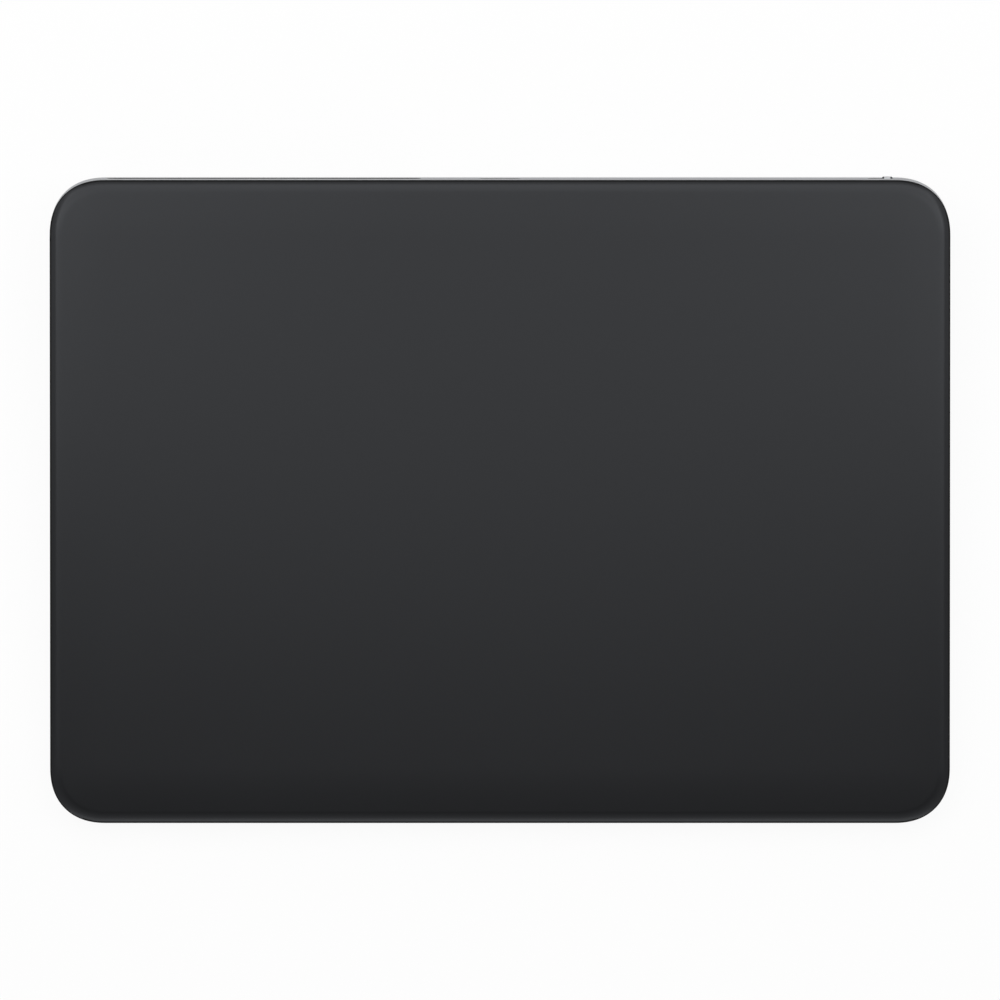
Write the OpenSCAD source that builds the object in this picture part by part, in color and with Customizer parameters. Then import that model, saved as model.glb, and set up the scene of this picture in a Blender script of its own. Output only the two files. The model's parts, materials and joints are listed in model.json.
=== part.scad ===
// Wireless glass trackpad: a wedge-shaped aluminium tub under a glass plate that floats on leaf springs.
// Lengths are in millimetres. X runs left to right, Y from the front edge to the rear edge, Z up.
// The origin lies on the desk under the middle of the pad.

/* [Overall size] */
// Width, left to right
pad_w = 160; // [150:0.5:190]
// Depth over the desk, from the front edge to the foot of the rear wall
pad_d = 114.9; // [108:0.1:140]
// Height of the front edge above the desk
front_h = 4.9; // [4.8:0.1:6.2]
// Height of the rear edge above the desk
rear_h = 10.9; // [10.5:0.1:13]
// Corner radius seen from above
corner_r = 9; // [7:0.5:12]

/* [Cover glass] */
// Thickness of the glass
glass_t = 1.2; // [0.9:0.05:1.4]
// Radius of the rolled top edge
glass_edge_r = 1.1; // [0.3:0.05:1.2]
// Straight band left under the rolled edge
glass_lip = 0.1; // [0.05:0.05:0.4]
// Shadow gap between the glass and the rim of the walls
shadow_gap = 0.35; // [0.3:0.05:0.6]

/* [Touch stack] */
// Thickness of the adhesive under the glass
bond_t = 0.1; // [0.05:0.05:0.2]
// Thickness of the touch sensor board
sensor_t = 0.4; // [0.3:0.05:0.6]
// Thickness of the steel stiffener
stiffener_t = 0.4; // [0.3:0.05:0.6]
// Gap between the touch stack and the walls
stack_gap = 0.8; // [0.5:0.1:1.5]
// How far the plate can be pressed in
press_travel = 0.25; // [0.1:0.05:0.25]
// Width of the stiffener window for the touch chip and the touch cable
window_w = 28; // [24:1:40]
// Length of the stiffener window
window_l = 9; // [8.5:0.5:12]
// Side of the touch chip
touch_chip_s = 7; // [5:0.5:8]
// Thickness of the touch chip
touch_chip_t = 0.8; // [0.5:0.1:1.2]
// Width of the touch cable
touch_cable_w = 9; // [6:0.5:10]

/* [Enclosure] */
// Thickness of the walls
wall_t = 1.6; // [1.4:0.1:2]
// Thickness of the floor
floor_t = 0.65; // [0.6:0.05:0.9]
// Wall left in front of the port, the switch and the antenna flange
lip_t = 0.8; // [0.6:0.1:1]
// Height of the centre line of port, window and switch above the foot of the rear wall
feature_rise = 3.6; // [3.4:0.1:4.2]
// Distance from the end of a corner to the antenna window or the switch slot
feature_corner_gap = 1.1; // [0.5:0.1:4]

/* [Underside] */
// Height of the feet below the skin
foot_h = 0.7; // [0.5:0.05:0.8]
// Radius of a foot
foot_r = 5.5; // [4:0.5:8]
// Depth of the seat of a foot in the skin
foot_seat = 0.15; // [0.1:0.05:0.25]
// Distance from the sides to the middle of a foot
foot_inset = 14; // [11:0.5:25]
// Thickness of the bottom skin
skin_t = 0.4; // [0.35:0.05:0.5]
// Thickness of the adhesive above the skin
skin_bond_t = 0.1; // [0.05:0.05:0.15]
// Width of the aluminium rim round the skin
skin_rim = 1.5; // [1.2:0.1:3]
// Gap round the skin
skin_gap = 0.1; // [0.05:0.05:0.3]

/* [Plate springs] */
// Distance from the screw of a leaf to its button
leaf_l = 15; // [12:0.5:18]
// Width of the ends of a leaf
leaf_w = 7; // [6.4:0.2:8]
// Width of the neck of a leaf
leaf_neck_w = 4; // [2.5:0.25:5]
// Thickness of a leaf
leaf_t = 0.25; // [0.2:0.05:0.3]
// Gap between a leaf and the side wall
leaf_wall_gap = 1; // [0.8:0.1:3]
// Height of a front spring post above the floor
front_post_h = 0.6; // [0.55:0.05:0.9]
// Distance from the rear springs' screws to the front edge of the main board
rear_post_gap = 5; // [4.5:0.5:8]
// Radius of a gel pad
gel_r = 3; // [2:0.25:3.4]
// Thickness of a gel pad
gel_t = 0.35; // [0.3:0.05:0.5]
// Radius of an isolator button
button_r = 2.4; // [1.8:0.2:3]
// Thickness of an isolator button
button_t = 0.3; // [0.25:0.05:0.4]
// Radius of the button's stem
stem_r = 1; // [0.6:0.1:1.2]
// Thickness of the rivet head under a leaf
rivet_t = 0.2; // [0.1:0.05:0.3]
// Radius of a clinch nut
nut_r = 1.5; // [1.3:0.1:1.8]
// Height of a clinch nut
nut_t = 0.5; // [0.4:0.05:0.55]
// Metal between a spring screw's head and its leaf
screw_grip = 0.7; // [0.6:0.05:0.75]
// Side of a strain gauge
gauge_s = 3; // [2:0.25:3.5]
// Thickness of a strain gauge
gauge_t = 0.08; // [0.05:0.01:0.1]

/* [Screws and cables] */
// Radius of a screw's shank
shank_r = 0.7; // [0.6:0.05:0.75]
// Radius of a screw's head
head_r = 1.4; // [1.2:0.1:1.5]
// Height of a screw's head
head_t = 0.4; // [0.35:0.05:0.45]
// Clearance round a shank in its hole
shank_gap = 0.1; // [0.05:0.05:0.15]
// Wall of a boss round its hole
boss_wall = 0.9; // [0.6:0.1:1.2]
// Thickness of a flat cable
cable_t = 0.15; // [0.1:0.01:0.2]
// Gap left where one piece drops into another
fit_gap = 0.05; // [0.03:0.01:0.1]

/* [Antenna] */
// Length of the antenna window
antenna_l = 55.9; // [40:0.1:58]
// Height of the antenna window
antenna_h = 3.6; // [2.4:0.1:3.8]
// Thickness of the window's flange behind the wall
flange_t = 0.5; // [0.4:0.05:0.6]
// How far the flange laps the wall
flange_lap = 0.4; // [0.2:0.1:0.5]
// Thickness of the antenna strip
antenna_strip_t = 0.2; // [0.1:0.05:0.25]

/* [Charge port] */
// Width of the port opening
port_w = 7.7; // [6.5:0.1:9]
// Height of the port opening
port_h = 2.6; // [2.2:0.1:2.8]
// Length of the port shell
port_l = 8.5; // [7.5:0.5:9]
// Wall of the port shell
port_shell_t = 0.3; // [0.2:0.05:0.35]
// Length of the insert at the back of the port
insert_l = 2.2; // [1.5:0.1:3]
// Length of the contacts in front of the insert
contact_l = 4; // [2:0.5:4.5]
// Number of contacts
contact_n = 8; // [4:1:9]
// Spacing of the contacts
contact_pitch = 0.7; // [0.6:0.05:0.75]
// Width of a contact
contact_w = 0.4; // [0.25:0.05:0.5]
// Thickness of the port's strap
strap_t = 0.3; // [0.2:0.05:0.4]
// Width of the port's strap
strap_w = 4; // [3.4:0.2:4.4]

/* [Power switch] */
// Length of the slot in the rear wall
slot_l = 4.6; // [3.8:0.1:5]
// Height of the slot
slot_h = 1.8; // [1.4:0.1:2]
// Length of the knob
knob_w = 1.9; // [1.4:0.1:2.2]
// How far the knob stands out of the wall
knob_proud = 0.3; // [0.1:0.05:0.6]
// Clearance round the knob in its slot
knob_gap = 0.1; // [0.05:0.01:0.15]
// Length of the knob's carriage to each side of its middle
carriage_half = 3.8; // [3.7:0.1:4]
// Height of the carriage
carriage_h = 2.8; // [2.4:0.1:3]
// Thickness of the carriage
carriage_t = 0.5; // [0.4:0.05:0.6]
// Running gap round the carriage
carriage_gap = 0.15; // [0.12:0.01:0.18]
// Thickness of the coloured mark on the carriage
mark_t = 0.08; // [0.04:0.01:0.1]
// Depth of the switch housing
housing_d = 3.2; // [2.8:0.1:4]
// Height of the switch housing
housing_h = 2.6; // [2.2:0.1:2.8]

/* [Main board] */
// Depth of the main board, front to rear
board_d = 14; // [13.5:0.25:16]
// Thickness of the main board
board_t = 0.8; // [0.6:0.05:1]
// Gap between the board and the rear wall
board_wall_gap = 1.15; // [1.1:0.05:1.5]
// Length of the window that the board leaves free for the antenna
antenna_keepout = 12; // [8:1:20]
// How far the board runs past the switch slot
board_past_slot = 3; // [2:0.25:3.2]
// Distance from the board's edges to its screws
board_screw_inset = 3; // [2.5:0.25:3.5]
// Half the distance between the two middle board screws
board_screw_half = 29; // [27:0.5:32]
// Height of the sockets on the board
socket_t = 1; // [0.8:0.1:1.4]
// Depth of the sockets on the board
socket_d = 2.5; // [2:0.25:3]
// Length of the radio shield
shield_l = 16; // [12:0.5:18]
// Depth of the radio shield
shield_d = 9; // [8.5:0.25:9.5]
// Height of the radio shield
shield_h = 1.6; // [1.4:0.1:2.2]
// Thickness of the shield's sheet
shield_t = 0.2; // [0.15:0.05:0.25]
// Side of the large chips
chip_s = 7; // [5:0.5:7.5]
// Side of the small chips
small_chip_s = 5; // [3:0.5:5.5]
// Thickness of the chips
chip_t = 0.9; // [0.6:0.1:1]

/* [Battery] */
// Thickness of a cell
cell_t = 3; // [2:0.1:3.2]
// Corner radius of a cell
cell_r = 2; // [0.5:0.25:4]
// Gap round the cells
cell_gap = 2; // [1.5:0.25:4]
// Free height above the cells
cell_headroom = 0.3; // [0.2:0.05:0.8]
// Thickness of the adhesive pads
cell_pad_t = 0.1; // [0.05:0.05:0.2]
// Depth of the protection board
battery_board_d = 2.6; // [2.2:0.1:3.2]
// Half length of the protection board
battery_board_half = 31; // [30:1:50]
// Thickness of the protection board
battery_board_t = 0.8; // [0.5:0.1:1]
// Gap between cells, protection board and main board
battery_board_gap = 0.5; // [0.4:0.05:0.8]
// Width of a cell tab
tab_w = 4; // [2:0.5:5]

/* [Haptic drive] */
// Width of the bracket
bracket_w = 24; // [23:0.5:28]
// Length of the bracket
bracket_l = 26; // [25:0.5:30]
// Thickness of the bracket
bracket_t = 0.5; // [0.4:0.05:0.6]
// Height of the lowest bracket boss above the floor
bracket_boss_h = 0.4; // [0.35:0.05:0.8]
// Length of the core along the slope
core_l = 19; // [18:0.5:20]
// Width of the outer limbs and the yoke of the core
core_limb = 2.5; // [2:0.25:3]
// Width of the middle limb
core_mid = 4; // [3:0.25:4.5]
// Reach of the limbs from the yoke
core_reach = 7.5; // [6:0.25:8]
// Height of the core
core_h = 1.3; // [1:0.1:1.6]
// Thickness of the winding round the middle limb
coil_wall = 1.6; // [1:0.1:1.8]
// Height of the winding above and below the core
coil_rise = 0.5; // [0.4:0.05:0.6]
// Free height above the coil
coil_headroom = 0.4; // [0.3:0.05:0.8]
// Air gap between the core and the attraction plate
air_gap = 0.6; // [0.4:0.05:0.9]
// Thickness of the attraction plate
attraction_t = 0.8; // [0.5:0.1:1]
// Reach of the attraction plate's flange
attraction_flange = 8; // [5:0.5:10]

/* [Hidden] */
$fn = 64;

aluminium = "#c4c5c7";
glass_black = "#2e2f31";
charcoal = "#3a3b3d";
rubber = "#1d1d1e";
steel = "#9a9ca0";
nickel = "#c9c6be";
gold = "#c9a24b";
copper = "#b5713c";
board_green = "#22452f";
board_black = "#202326";
chip_black = "#26272a";
cable_amber = "#a8692c";
cell_grey = "#8d9094";
gel_blue = "#8fb3bf";
adhesive_grey = "#6c6d70";
mark_green = "#35b54a";

// Tilt of the glass: the rear wall stands square to the glass and ends at pad_d, foot_h above the desk
rear_drop = rear_h - foot_h;
rise = rear_h - front_h;
tilt = atan((pad_d - sqrt(pad_d * pad_d - 4 * rear_drop * rise)) / (2 * rear_drop));
pad_l = rise / sin(tilt);
pad_mid_y = (pad_l * cos(tilt) - pad_d) / 2;
pad_mid_z = (front_h + rear_h) / 2;
far = pad_w + pad_d + rear_h;

// How far a cut reaches past the face that it starts from
cut_over = 1;

// Heights above the desk
skin_top_z = foot_h + skin_t;
floor_under_z = skin_top_z + skin_bond_t;
floor_z = floor_under_z + floor_t;

// Depths below the top of the glass, measured square to it
edge_r = min(glass_edge_r, glass_t - glass_lip);
rim_depth = glass_t + shadow_gap;
sensor_depth = glass_t + bond_t;
stiffener_depth = sensor_depth + sensor_t;
stack_depth = stiffener_depth + stiffener_t;
button_depth = stack_depth + gel_t;
leaf_depth = button_depth + button_t;
post_depth = leaf_depth + leaf_t;
gauge_depth = leaf_depth - gauge_t;
pressed_depth = stack_depth + press_travel;

// Depth of a level plane at height z below the glass, and the place where a level plane has a given depth
function level_depth(z, y) = (pad_mid_z - z) / cos(tilt) + y * tan(tilt);
function level_y(z, depth) = (depth - (pad_mid_z - z) / cos(tilt)) / tan(tilt);
function floor_depth(y) = level_depth(floor_z, y);
function desk_y(y, depth) = pad_mid_y + y * cos(tilt) + depth * sin(tilt);

// Underside of the tub
under_front_y = desk_y(-pad_l / 2, level_depth(foot_h, -pad_l / 2));
under_d = pad_d / 2 - under_front_y;
under_mid_y = (pad_d / 2 + under_front_y) / 2;
skin_recess_w = pad_w - 2 * skin_rim;
skin_recess_d = under_d - 2 * skin_rim;
skin_recess_r = corner_r - skin_rim;
foot_x = pad_w / 2 - foot_inset;
foot_y = under_d / 2 - foot_inset;
foot_edge = 0.25;

// Touch stack
stack_inset = wall_t + stack_gap;
stack_w = pad_w - 2 * stack_inset;
stack_l = pad_l - 2 * stack_inset;
stack_r = corner_r - stack_inset;

// Rear wall features
wall_out_y = pad_l / 2;
wall_in_y = wall_out_y - wall_t;
lip_in_y = wall_out_y - lip_t;
feature_depth = level_depth(foot_h, wall_out_y) - feature_rise;
feature_x = pad_w / 2 - corner_r - feature_corner_gap;
antenna_x = antenna_l / 2 - feature_x;
slot_x = feature_x - slot_l / 2;
knob_x = feature_x - knob_gap - knob_w / 2;
knob_h = slot_h - 2 * knob_gap;
knob_travel = slot_l - knob_w - 2 * knob_gap;
carriage_out_y = lip_in_y - carriage_gap;
carriage_in_y = carriage_out_y - carriage_t;
carriage_reach = carriage_half + carriage_gap;
carriage_room_x = [knob_x - knob_travel - carriage_reach, knob_x + carriage_reach];
carriage_room_h = carriage_h + 2 * carriage_gap;
peg_s = 0.8;
peg_l = 0.9;
housing_rear_y = min(wall_in_y, carriage_in_y - carriage_gap);
housing_x = [slot_x - carriage_half, slot_x + carriage_half];
flange_in_y = wall_in_y - flange_t;
antenna_strip_edge = 0.5;
antenna_tail_w = 4;
antenna_tail_inset = 2;
antenna_tail_lap = 2;

// Main board
board_rear_y = wall_in_y - board_wall_gap;
board_y = [board_rear_y - board_d, board_rear_y];
board_x = [antenna_keepout - feature_x, feature_x + board_past_slot];
board_depth = [feature_depth - board_t / 2, feature_depth + board_t / 2];
notch_gap = 0.2;
board_screw_y = board_y[0] + board_screw_inset;
board_screw_x = [
    board_x[0] + board_screw_inset,
    -board_screw_half,
    board_screw_half,
    board_x[1] - board_screw_inset
];
boss_r = shank_r + shank_gap + boss_wall;
hex_r = 0.63;
thread_l = 1.6;
socket_inset = 1.4;
socket_y = [board_y[0] + socket_inset, board_y[0] + socket_inset + socket_d];
touch_socket_x = -7;
haptic_socket_x = 5;
battery_socket_x = 16;
battery_cable_w = 6;
haptic_cable_w = 4;

// Parts on the main board, in a row along its middle
board_mid_y = (board_y[0] + board_y[1]) / 2;
processor_screw_gap = 9;
switch_chip_gap = 6;
chip_gap = 3.5;
inductor_s = 4;
inductor_t = 1.5;
passive_size = [0.5, 1, 0.5];
passive_pitch = 1.4;
passive_n = 5;
passive_inset = 1.2;
shield_x = (board_screw_x[0] + board_screw_x[1]) / 2;
processor_x = board_screw_x[1] + processor_screw_gap;
force_x = housing_x[0] - switch_chip_gap - small_chip_s / 2;
inductor_x = force_x - small_chip_s / 2 - chip_gap - inductor_s / 2;
charger_x = inductor_x - inductor_s / 2 - chip_gap - small_chip_s / 2;

// Charge port
shell_w = port_w + 2 * port_shell_t;
shell_h = port_h + 2 * port_shell_t;
port_y = [lip_in_y - port_l, lip_in_y];
ledge_t = 0.4;
contact_t = 0.15;
contact_row_w = (contact_n - 1) * contact_pitch + contact_w;
ledge_y = [port_y[0] + insert_l / 2, port_y[0] + insert_l + contact_l];
ledge_depth = [feature_depth + port_h / 2 - ledge_t, feature_depth + port_h / 2 - fit_gap];
strap_inset = 0.6;
strap_y = port_y[0] + strap_inset + strap_w / 2;
strap_screw_x = shell_w / 2 + notch_gap + boss_r;

// Stiffener window and touch cable
window_board_gap = 8;
window_edge = 1.5;
window_r = 1;
window_y = board_y[0] - window_board_gap - window_l / 2;
window_x = touch_socket_x + touch_cable_w / 2 + window_edge - window_w / 2;
touch_cable_lap = 2;
touch_cable_dip = 2.5;

// Plate springs
leaf_x = pad_w / 2 - wall_t - leaf_wall_gap - leaf_w / 2;
front_screw_y = max(level_y(floor_z, post_depth + front_post_h), corner_r - wall_out_y);
rear_screw_y = board_y[0] - rear_post_gap;
leaf_places = [
    [-leaf_x, front_screw_y, 1],
    [leaf_x, front_screw_y, 1],
    [-leaf_x, rear_screw_y, -1],
    [leaf_x, rear_screw_y, -1]
];
peg_r = 0.5;
peg_edge = 0.5;
peg_offset = leaf_w / 2 - peg_r - peg_edge;
leaf_tip_edge = 0.6;
gauge_post_gap = 0.5;
gauge_offset = leaf_w / 2 + gauge_s / 2 + gauge_post_gap;
nut_clear = 0.7;
gauge_cable_w = 1.1;
gauge_tab_w = 2;
gauge_screw_gap = 0.3;
gauge_tail_l = board_screw_inset - head_r - gauge_screw_gap;
gauge_tail_y = wall_out_y - corner_r - gauge_tab_w / 2;
gauge_cable_y = [front_screw_y + gauge_offset - gauge_tab_w / 2, gauge_tail_y + gauge_tab_w / 2];

// Battery
cell_x = [bracket_w / 2 + cell_gap, leaf_x - leaf_w / 2 - cell_gap];
cell_z = [floor_z + cell_pad_t, floor_z + cell_pad_t + cell_t];
cell_front_y = desk_y(level_y(cell_z[1], pressed_depth + cell_headroom), pressed_depth + cell_headroom);
battery_board_rear_y = desk_y(board_y[0], board_depth[0]) - battery_board_gap;
battery_board_y = [battery_board_rear_y - battery_board_d, battery_board_rear_y];
battery_board_z = [floor_z + cell_pad_t, floor_z + cell_pad_t + battery_board_t];
cell_y = [cell_front_y, battery_board_y[0] - battery_board_gap];
cell_pad_w = 10;
cell_pad_inset = 5;
tab_t = 0.15;
tab_inset = 4;
tab_pitch = 6;
tab_x = [cell_x[0] + tab_inset, cell_x[0] + tab_inset + tab_pitch];
battery_cable_lap = 0.9;

// Haptic drive
coil_h = core_h + 2 * coil_rise;
coil_depth = [pressed_depth + coil_headroom, pressed_depth + coil_headroom + coil_h];
core_depth = [coil_depth[0] + coil_rise, coil_depth[1] - coil_rise];
bracket_depth = [coil_depth[1], coil_depth[1] + bracket_t];
bracket_front_y = level_y(floor_z, bracket_depth[1] + bracket_boss_h);
haptic_y = bracket_front_y + bracket_l / 2;
bracket_screw_x = bracket_w / 2 - boss_r;
bracket_screw_y = bracket_l / 2 - boss_r;
bracket_thread_l = 0.7;
core_screw_gap = 0.4;
core_back_x = head_r + core_screw_gap - bracket_screw_x;
core_tip_x = core_back_x + core_limb + core_reach;
attraction_x = core_tip_x + air_gap;
core_rest_l = 1;
coil_end_gap = 0.75;
coil_l = core_reach - 2 * coil_end_gap;
lead_w = 2.5;
lead_gap = 0.5;

// Frame of the glass: X across, Y up the slope, Z square to the glass, 0 in the middle of its top
module on_pad() {
    translate([0, pad_mid_y, pad_mid_z])
        rotate([tilt, 0, 0])
            children();
}

// Block in the frame of the glass, with depths counted down from its top
module pad_block(x, y, depth) {
    translate([x[0], y[0], -depth[1]])
        cube([x[1] - x[0], y[1] - y[0], depth[1] - depth[0]]);
}

// Flat outline in the frame of the glass, given thickness between two depths
module pad_plate(depth) {
    translate([0, 0, -depth[1]])
        linear_extrude(depth[1] - depth[0])
            children();
}

// Upright outline on the centre line of the rear features, given length along the slope
module rear_bar(x, y) {
    translate([x, y[1], -feature_depth])
        rotate([90, 0, 0])
            linear_extrude(y[1] - y[0])
                children();
}

// Outline of Y and depth, given width along X
module side_strip(x) {
    translate([x[0], 0, 0])
        rotate([90, 0, 90])
            linear_extrude(x[1] - x[0])
                children();
}

module rounded_rect(w, l, r) {
    square([w - 2 * r, l], center = true);
    square([w, l - 2 * r], center = true);
    for (x = [-1, 1], y = [-1, 1])
        translate([x * (w / 2 - r), y * (l / 2 - r)])
            circle(r);
}

module stadium(w, h) {
    square([w - h, h], center = true);
    for (x = [-1, 1])
        translate([x * (w - h) / 2, 0])
            circle(h / 2);
}

// Keeps what lies above a level plane
module above(z) {
    difference() {
        children();
        translate([-far, -far, z - far])
            cube([2 * far, 2 * far, far]);
    }
}

// Boss on the floor, square to the glass, rooted in the floor
module boss(x, y, r, top) {
    root = floor_depth(y) + floor_t / 2;
    translate([x, y, -root])
        cylinder(r = r, h = root - top);
}

module hole_down(x, y, r, top, length) {
    translate([x, y, -top - length])
        cylinder(r = r, h = length + cut_over);
}

// Hole from below, up to a depth
module counterbore(x, y, r, top) {
    translate([x, y, -top - rear_h])
        cylinder(r = r, h = rear_h);
}

// Screw with its head's seat at 0, its shank downwards and a hexagon socket
module screw(shank_l) {
    difference() {
        union() {
            cylinder(r = head_r, h = head_t);
            translate([0, 0, -shank_l])
                cylinder(r = shank_r, h = shank_l + head_t / 2);
        }
        translate([0, 0, head_t / 2])
            cylinder(r = hex_r, h = head_t, $fn = 6);
    }
}

// Slab with a rolled top edge: middle, four bars and four turned corners that meet on flat faces
module rolled_slab(w, l, r, t, roll) {
    mid_w = w - 2 * r;
    mid_l = l - 2 * r;
    translate([-mid_w / 2, -mid_l / 2, -t])
        cube([mid_w, mid_l, t]);
    for (side = [0, 180])
        rotate([0, 0, side]) {
            translate([mid_w / 2, mid_l / 2, -t])
                rotate([90, 0, 0])
                    linear_extrude(mid_l)
                        rolled_profile(r, t, roll);
            translate([-mid_w / 2, mid_l / 2, -t])
                rotate([90, 0, 90])
                    linear_extrude(mid_w)
                        rolled_profile(r, t, roll);
            translate([mid_w / 2, mid_l / 2, -t])
                rotate_extrude(angle = 90)
                    rolled_profile(r, t, roll);
            translate([-mid_w / 2, mid_l / 2, -t])
                rotate([0, 0, 90])
                    rotate_extrude(angle = 90)
                        rolled_profile(r, t, roll);
        }
}

module rolled_profile(r, t, roll) {
    square([r - roll, t]);
    square([r, t - roll]);
    intersection() {
        square([r, t]);
        translate([r - roll, t - roll])
            circle(roll);
    }
}

// Enclosure

module enclosure() {
    color(aluminium)
        difference() {
            union() {
                tub();
                on_pad()
                    bosses();
            }
            on_pad() {
                boss_holes();
                rear_openings();
            }
        }
}

module tub() {
    difference() {
        above(foot_h)
            on_pad()
                pad_plate([rim_depth, rear_h + foot_h])
                    rounded_rect(pad_w, pad_l, corner_r);
        above(floor_z)
            on_pad()
                pad_plate([0, rear_h + foot_h])
                    rounded_rect(pad_w - 2 * wall_t, pad_l - 2 * wall_t, corner_r - wall_t);
        translate([0, under_mid_y, 0])
            linear_extrude(floor_under_z)
                rounded_rect(skin_recess_w, skin_recess_d, skin_recess_r);
    }
}

module bosses() {
    for (p = leaf_places) {
        boss(p[0], p[1], leaf_w / 2, post_depth);
        translate([p[0], p[1] + p[2] * peg_offset, -post_depth - leaf_t])
            cylinder(r = peg_r, h = 2 * leaf_t);
    }
    for (x = board_screw_x)
        boss(x, board_screw_y, boss_r, board_depth[1]);
    for (side = [-1, 1])
        boss(side * strap_screw_x, strap_y, boss_r, board_depth[1]);
    for (x = [-1, 1], y = [-1, 1])
        boss(x * bracket_screw_x, haptic_y + y * bracket_screw_y, boss_r, bracket_depth[1]);
}

module boss_holes() {
    hole_r = shank_r + shank_gap;
    for (p = leaf_places) {
        hole_down(p[0], p[1], hole_r, post_depth, screw_grip + head_t);
        counterbore(p[0], p[1], head_r + shank_gap, post_depth + screw_grip);
    }
    for (x = board_screw_x)
        hole_down(x, board_screw_y, hole_r, board_depth[1], thread_l);
    for (side = [-1, 1])
        hole_down(side * strap_screw_x, strap_y, hole_r, board_depth[1], thread_l);
    for (x = [-1, 1], y = [-1, 1])
        hole_down(
            x * bracket_screw_x, haptic_y + y * bracket_screw_y,
            hole_r, bracket_depth[1], bracket_thread_l
        );
}

module rear_openings() {
    behind = wall_in_y - flange_t;
    through = wall_out_y + wall_t;
    rear_bar(antenna_x, [behind, through])
        stadium(antenna_l, antenna_h);
    rear_bar(0, [behind, through])
        stadium(port_w, port_h);
    rear_bar(0, [behind, lip_in_y])
        stadium(shell_w + 2 * fit_gap, shell_h + 2 * fit_gap);
    rear_bar(slot_x, [behind, through])
        stadium(slot_l, slot_h);
    pad_block(
        carriage_room_x, [behind, lip_in_y],
        [feature_depth - carriage_room_h / 2, feature_depth + carriage_room_h / 2]
    );
}

// Underside

module bottom_skin() {
    color(charcoal)
        difference() {
            translate([0, under_mid_y, foot_h])
                linear_extrude(skin_t)
                    rounded_rect(
                        skin_recess_w - 2 * skin_gap, skin_recess_d - 2 * skin_gap,
                        skin_recess_r - skin_gap
                    );
            for (x = [-1, 1], y = [-1, 1])
                translate([x * foot_x, under_mid_y + y * foot_y, 0])
                    cylinder(r = foot_r + fit_gap, h = foot_h + foot_seat);
        }
}

module skin_bond() {
    inset = 2 * skin_gap;
    color(adhesive_grey)
        difference() {
            translate([0, under_mid_y, skin_top_z])
                linear_extrude(skin_bond_t)
                    rounded_rect(skin_recess_w - 2 * inset, skin_recess_d - 2 * inset, skin_recess_r - inset);
            on_pad()
                for (p = leaf_places)
                    counterbore(p[0], p[1], head_r + 2 * shank_gap, post_depth);
        }
}

module foot(x, y) {
    color(rubber)
        translate([x * foot_x, under_mid_y + y * foot_y, 0])
            rotate_extrude()
                polygon([
                    [0, 0],
                    [foot_r - foot_edge, 0],
                    [foot_r, foot_edge],
                    [foot_r, foot_h + foot_seat],
                    [0, foot_h + foot_seat]
                ]);
}

module foot_front_left() {
    foot(-1, -1);
}

module foot_front_right() {
    foot(1, -1);
}

module foot_rear_left() {
    foot(-1, 1);
}

module foot_rear_right() {
    foot(1, 1);
}

// Antenna

module antenna_window() {
    color(charcoal)
        above(floor_z + fit_gap)
            on_pad() {
                rear_bar(antenna_x, [wall_in_y - flange_t / 2, wall_out_y])
                    stadium(antenna_l - 2 * fit_gap, antenna_h - 2 * fit_gap);
                rear_bar(antenna_x, [flange_in_y, wall_in_y])
                    stadium(antenna_l + 2 * flange_lap, antenna_h + 2 * flange_lap);
            }
}

module antenna_strip() {
    strip_y = [flange_in_y - antenna_strip_t, flange_in_y];
    tail_x = [board_x[0] + antenna_tail_inset, board_x[0] + antenna_tail_inset + antenna_tail_w];
    tail_y = [board_rear_y - antenna_tail_lap, flange_in_y];
    color(copper)
        on_pad() {
            rear_bar(antenna_x, strip_y)
                square([antenna_l - antenna_h, antenna_h - 2 * antenna_strip_edge], center = true);
            pad_block(tail_x, tail_y, [board_depth[0] - antenna_strip_t, board_depth[0]]);
        }
}

// Main board

module main_board() {
    notch_rear_y = board_rear_y + cut_over;
    color(board_black)
        on_pad()
            difference() {
                pad_block(board_x, board_y, board_depth);
                pad_block(
                    [-shell_w / 2 - notch_gap, shell_w / 2 + notch_gap],
                    [port_y[0] - notch_gap, notch_rear_y], [0, rear_h]
                );
                pad_block(
                    [housing_x[0] - notch_gap, housing_x[1] + notch_gap],
                    [housing_rear_y - housing_d - notch_gap, notch_rear_y], [0, rear_h]
                );
                for (x = board_screw_x)
                    hole_down(x, board_screw_y, shank_r + shank_gap, 0, rear_h);
                for (side = [-1, 1])
                    hole_down(side * strap_screw_x, strap_y, shank_r + shank_gap, 0, rear_h);
            }
}

module board_screws() {
    color(steel)
        on_pad()
            for (x = board_screw_x)
                translate([x, board_screw_y, -board_depth[0]])
                    screw(board_t + thread_l - shank_gap);
}

// Part that stands on the main board, placed by its middle
module on_board(x, y, w, d, t) {
    pad_block([x - w / 2, x + w / 2], [y - d / 2, y + d / 2], [board_depth[0] - t, board_depth[0]]);
}

module processor_chip() {
    color(chip_black)
        on_pad()
            on_board(processor_x, board_mid_y, chip_s, chip_s, chip_t);
}

module radio_chip() {
    color(chip_black)
        on_pad()
            on_board(shield_x, board_mid_y, chip_s, chip_s, chip_t);
}

module radio_shield() {
    color(nickel)
        on_pad()
            difference() {
                on_board(shield_x, board_mid_y, shield_l, shield_d, shield_h);
                pad_block(
                    [shield_x - shield_l / 2 + shield_t, shield_x + shield_l / 2 - shield_t],
                    [board_mid_y - shield_d / 2 + shield_t, board_mid_y + shield_d / 2 - shield_t],
                    [board_depth[0] - shield_h + shield_t, board_depth[1]]
                );
            }
}

module charger_chip() {
    color(chip_black)
        on_pad()
            on_board(charger_x, board_mid_y, small_chip_s, small_chip_s, chip_t);
}

module force_chip() {
    color(chip_black)
        on_pad()
            on_board(force_x, board_mid_y, small_chip_s, small_chip_s, chip_t);
}

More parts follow.
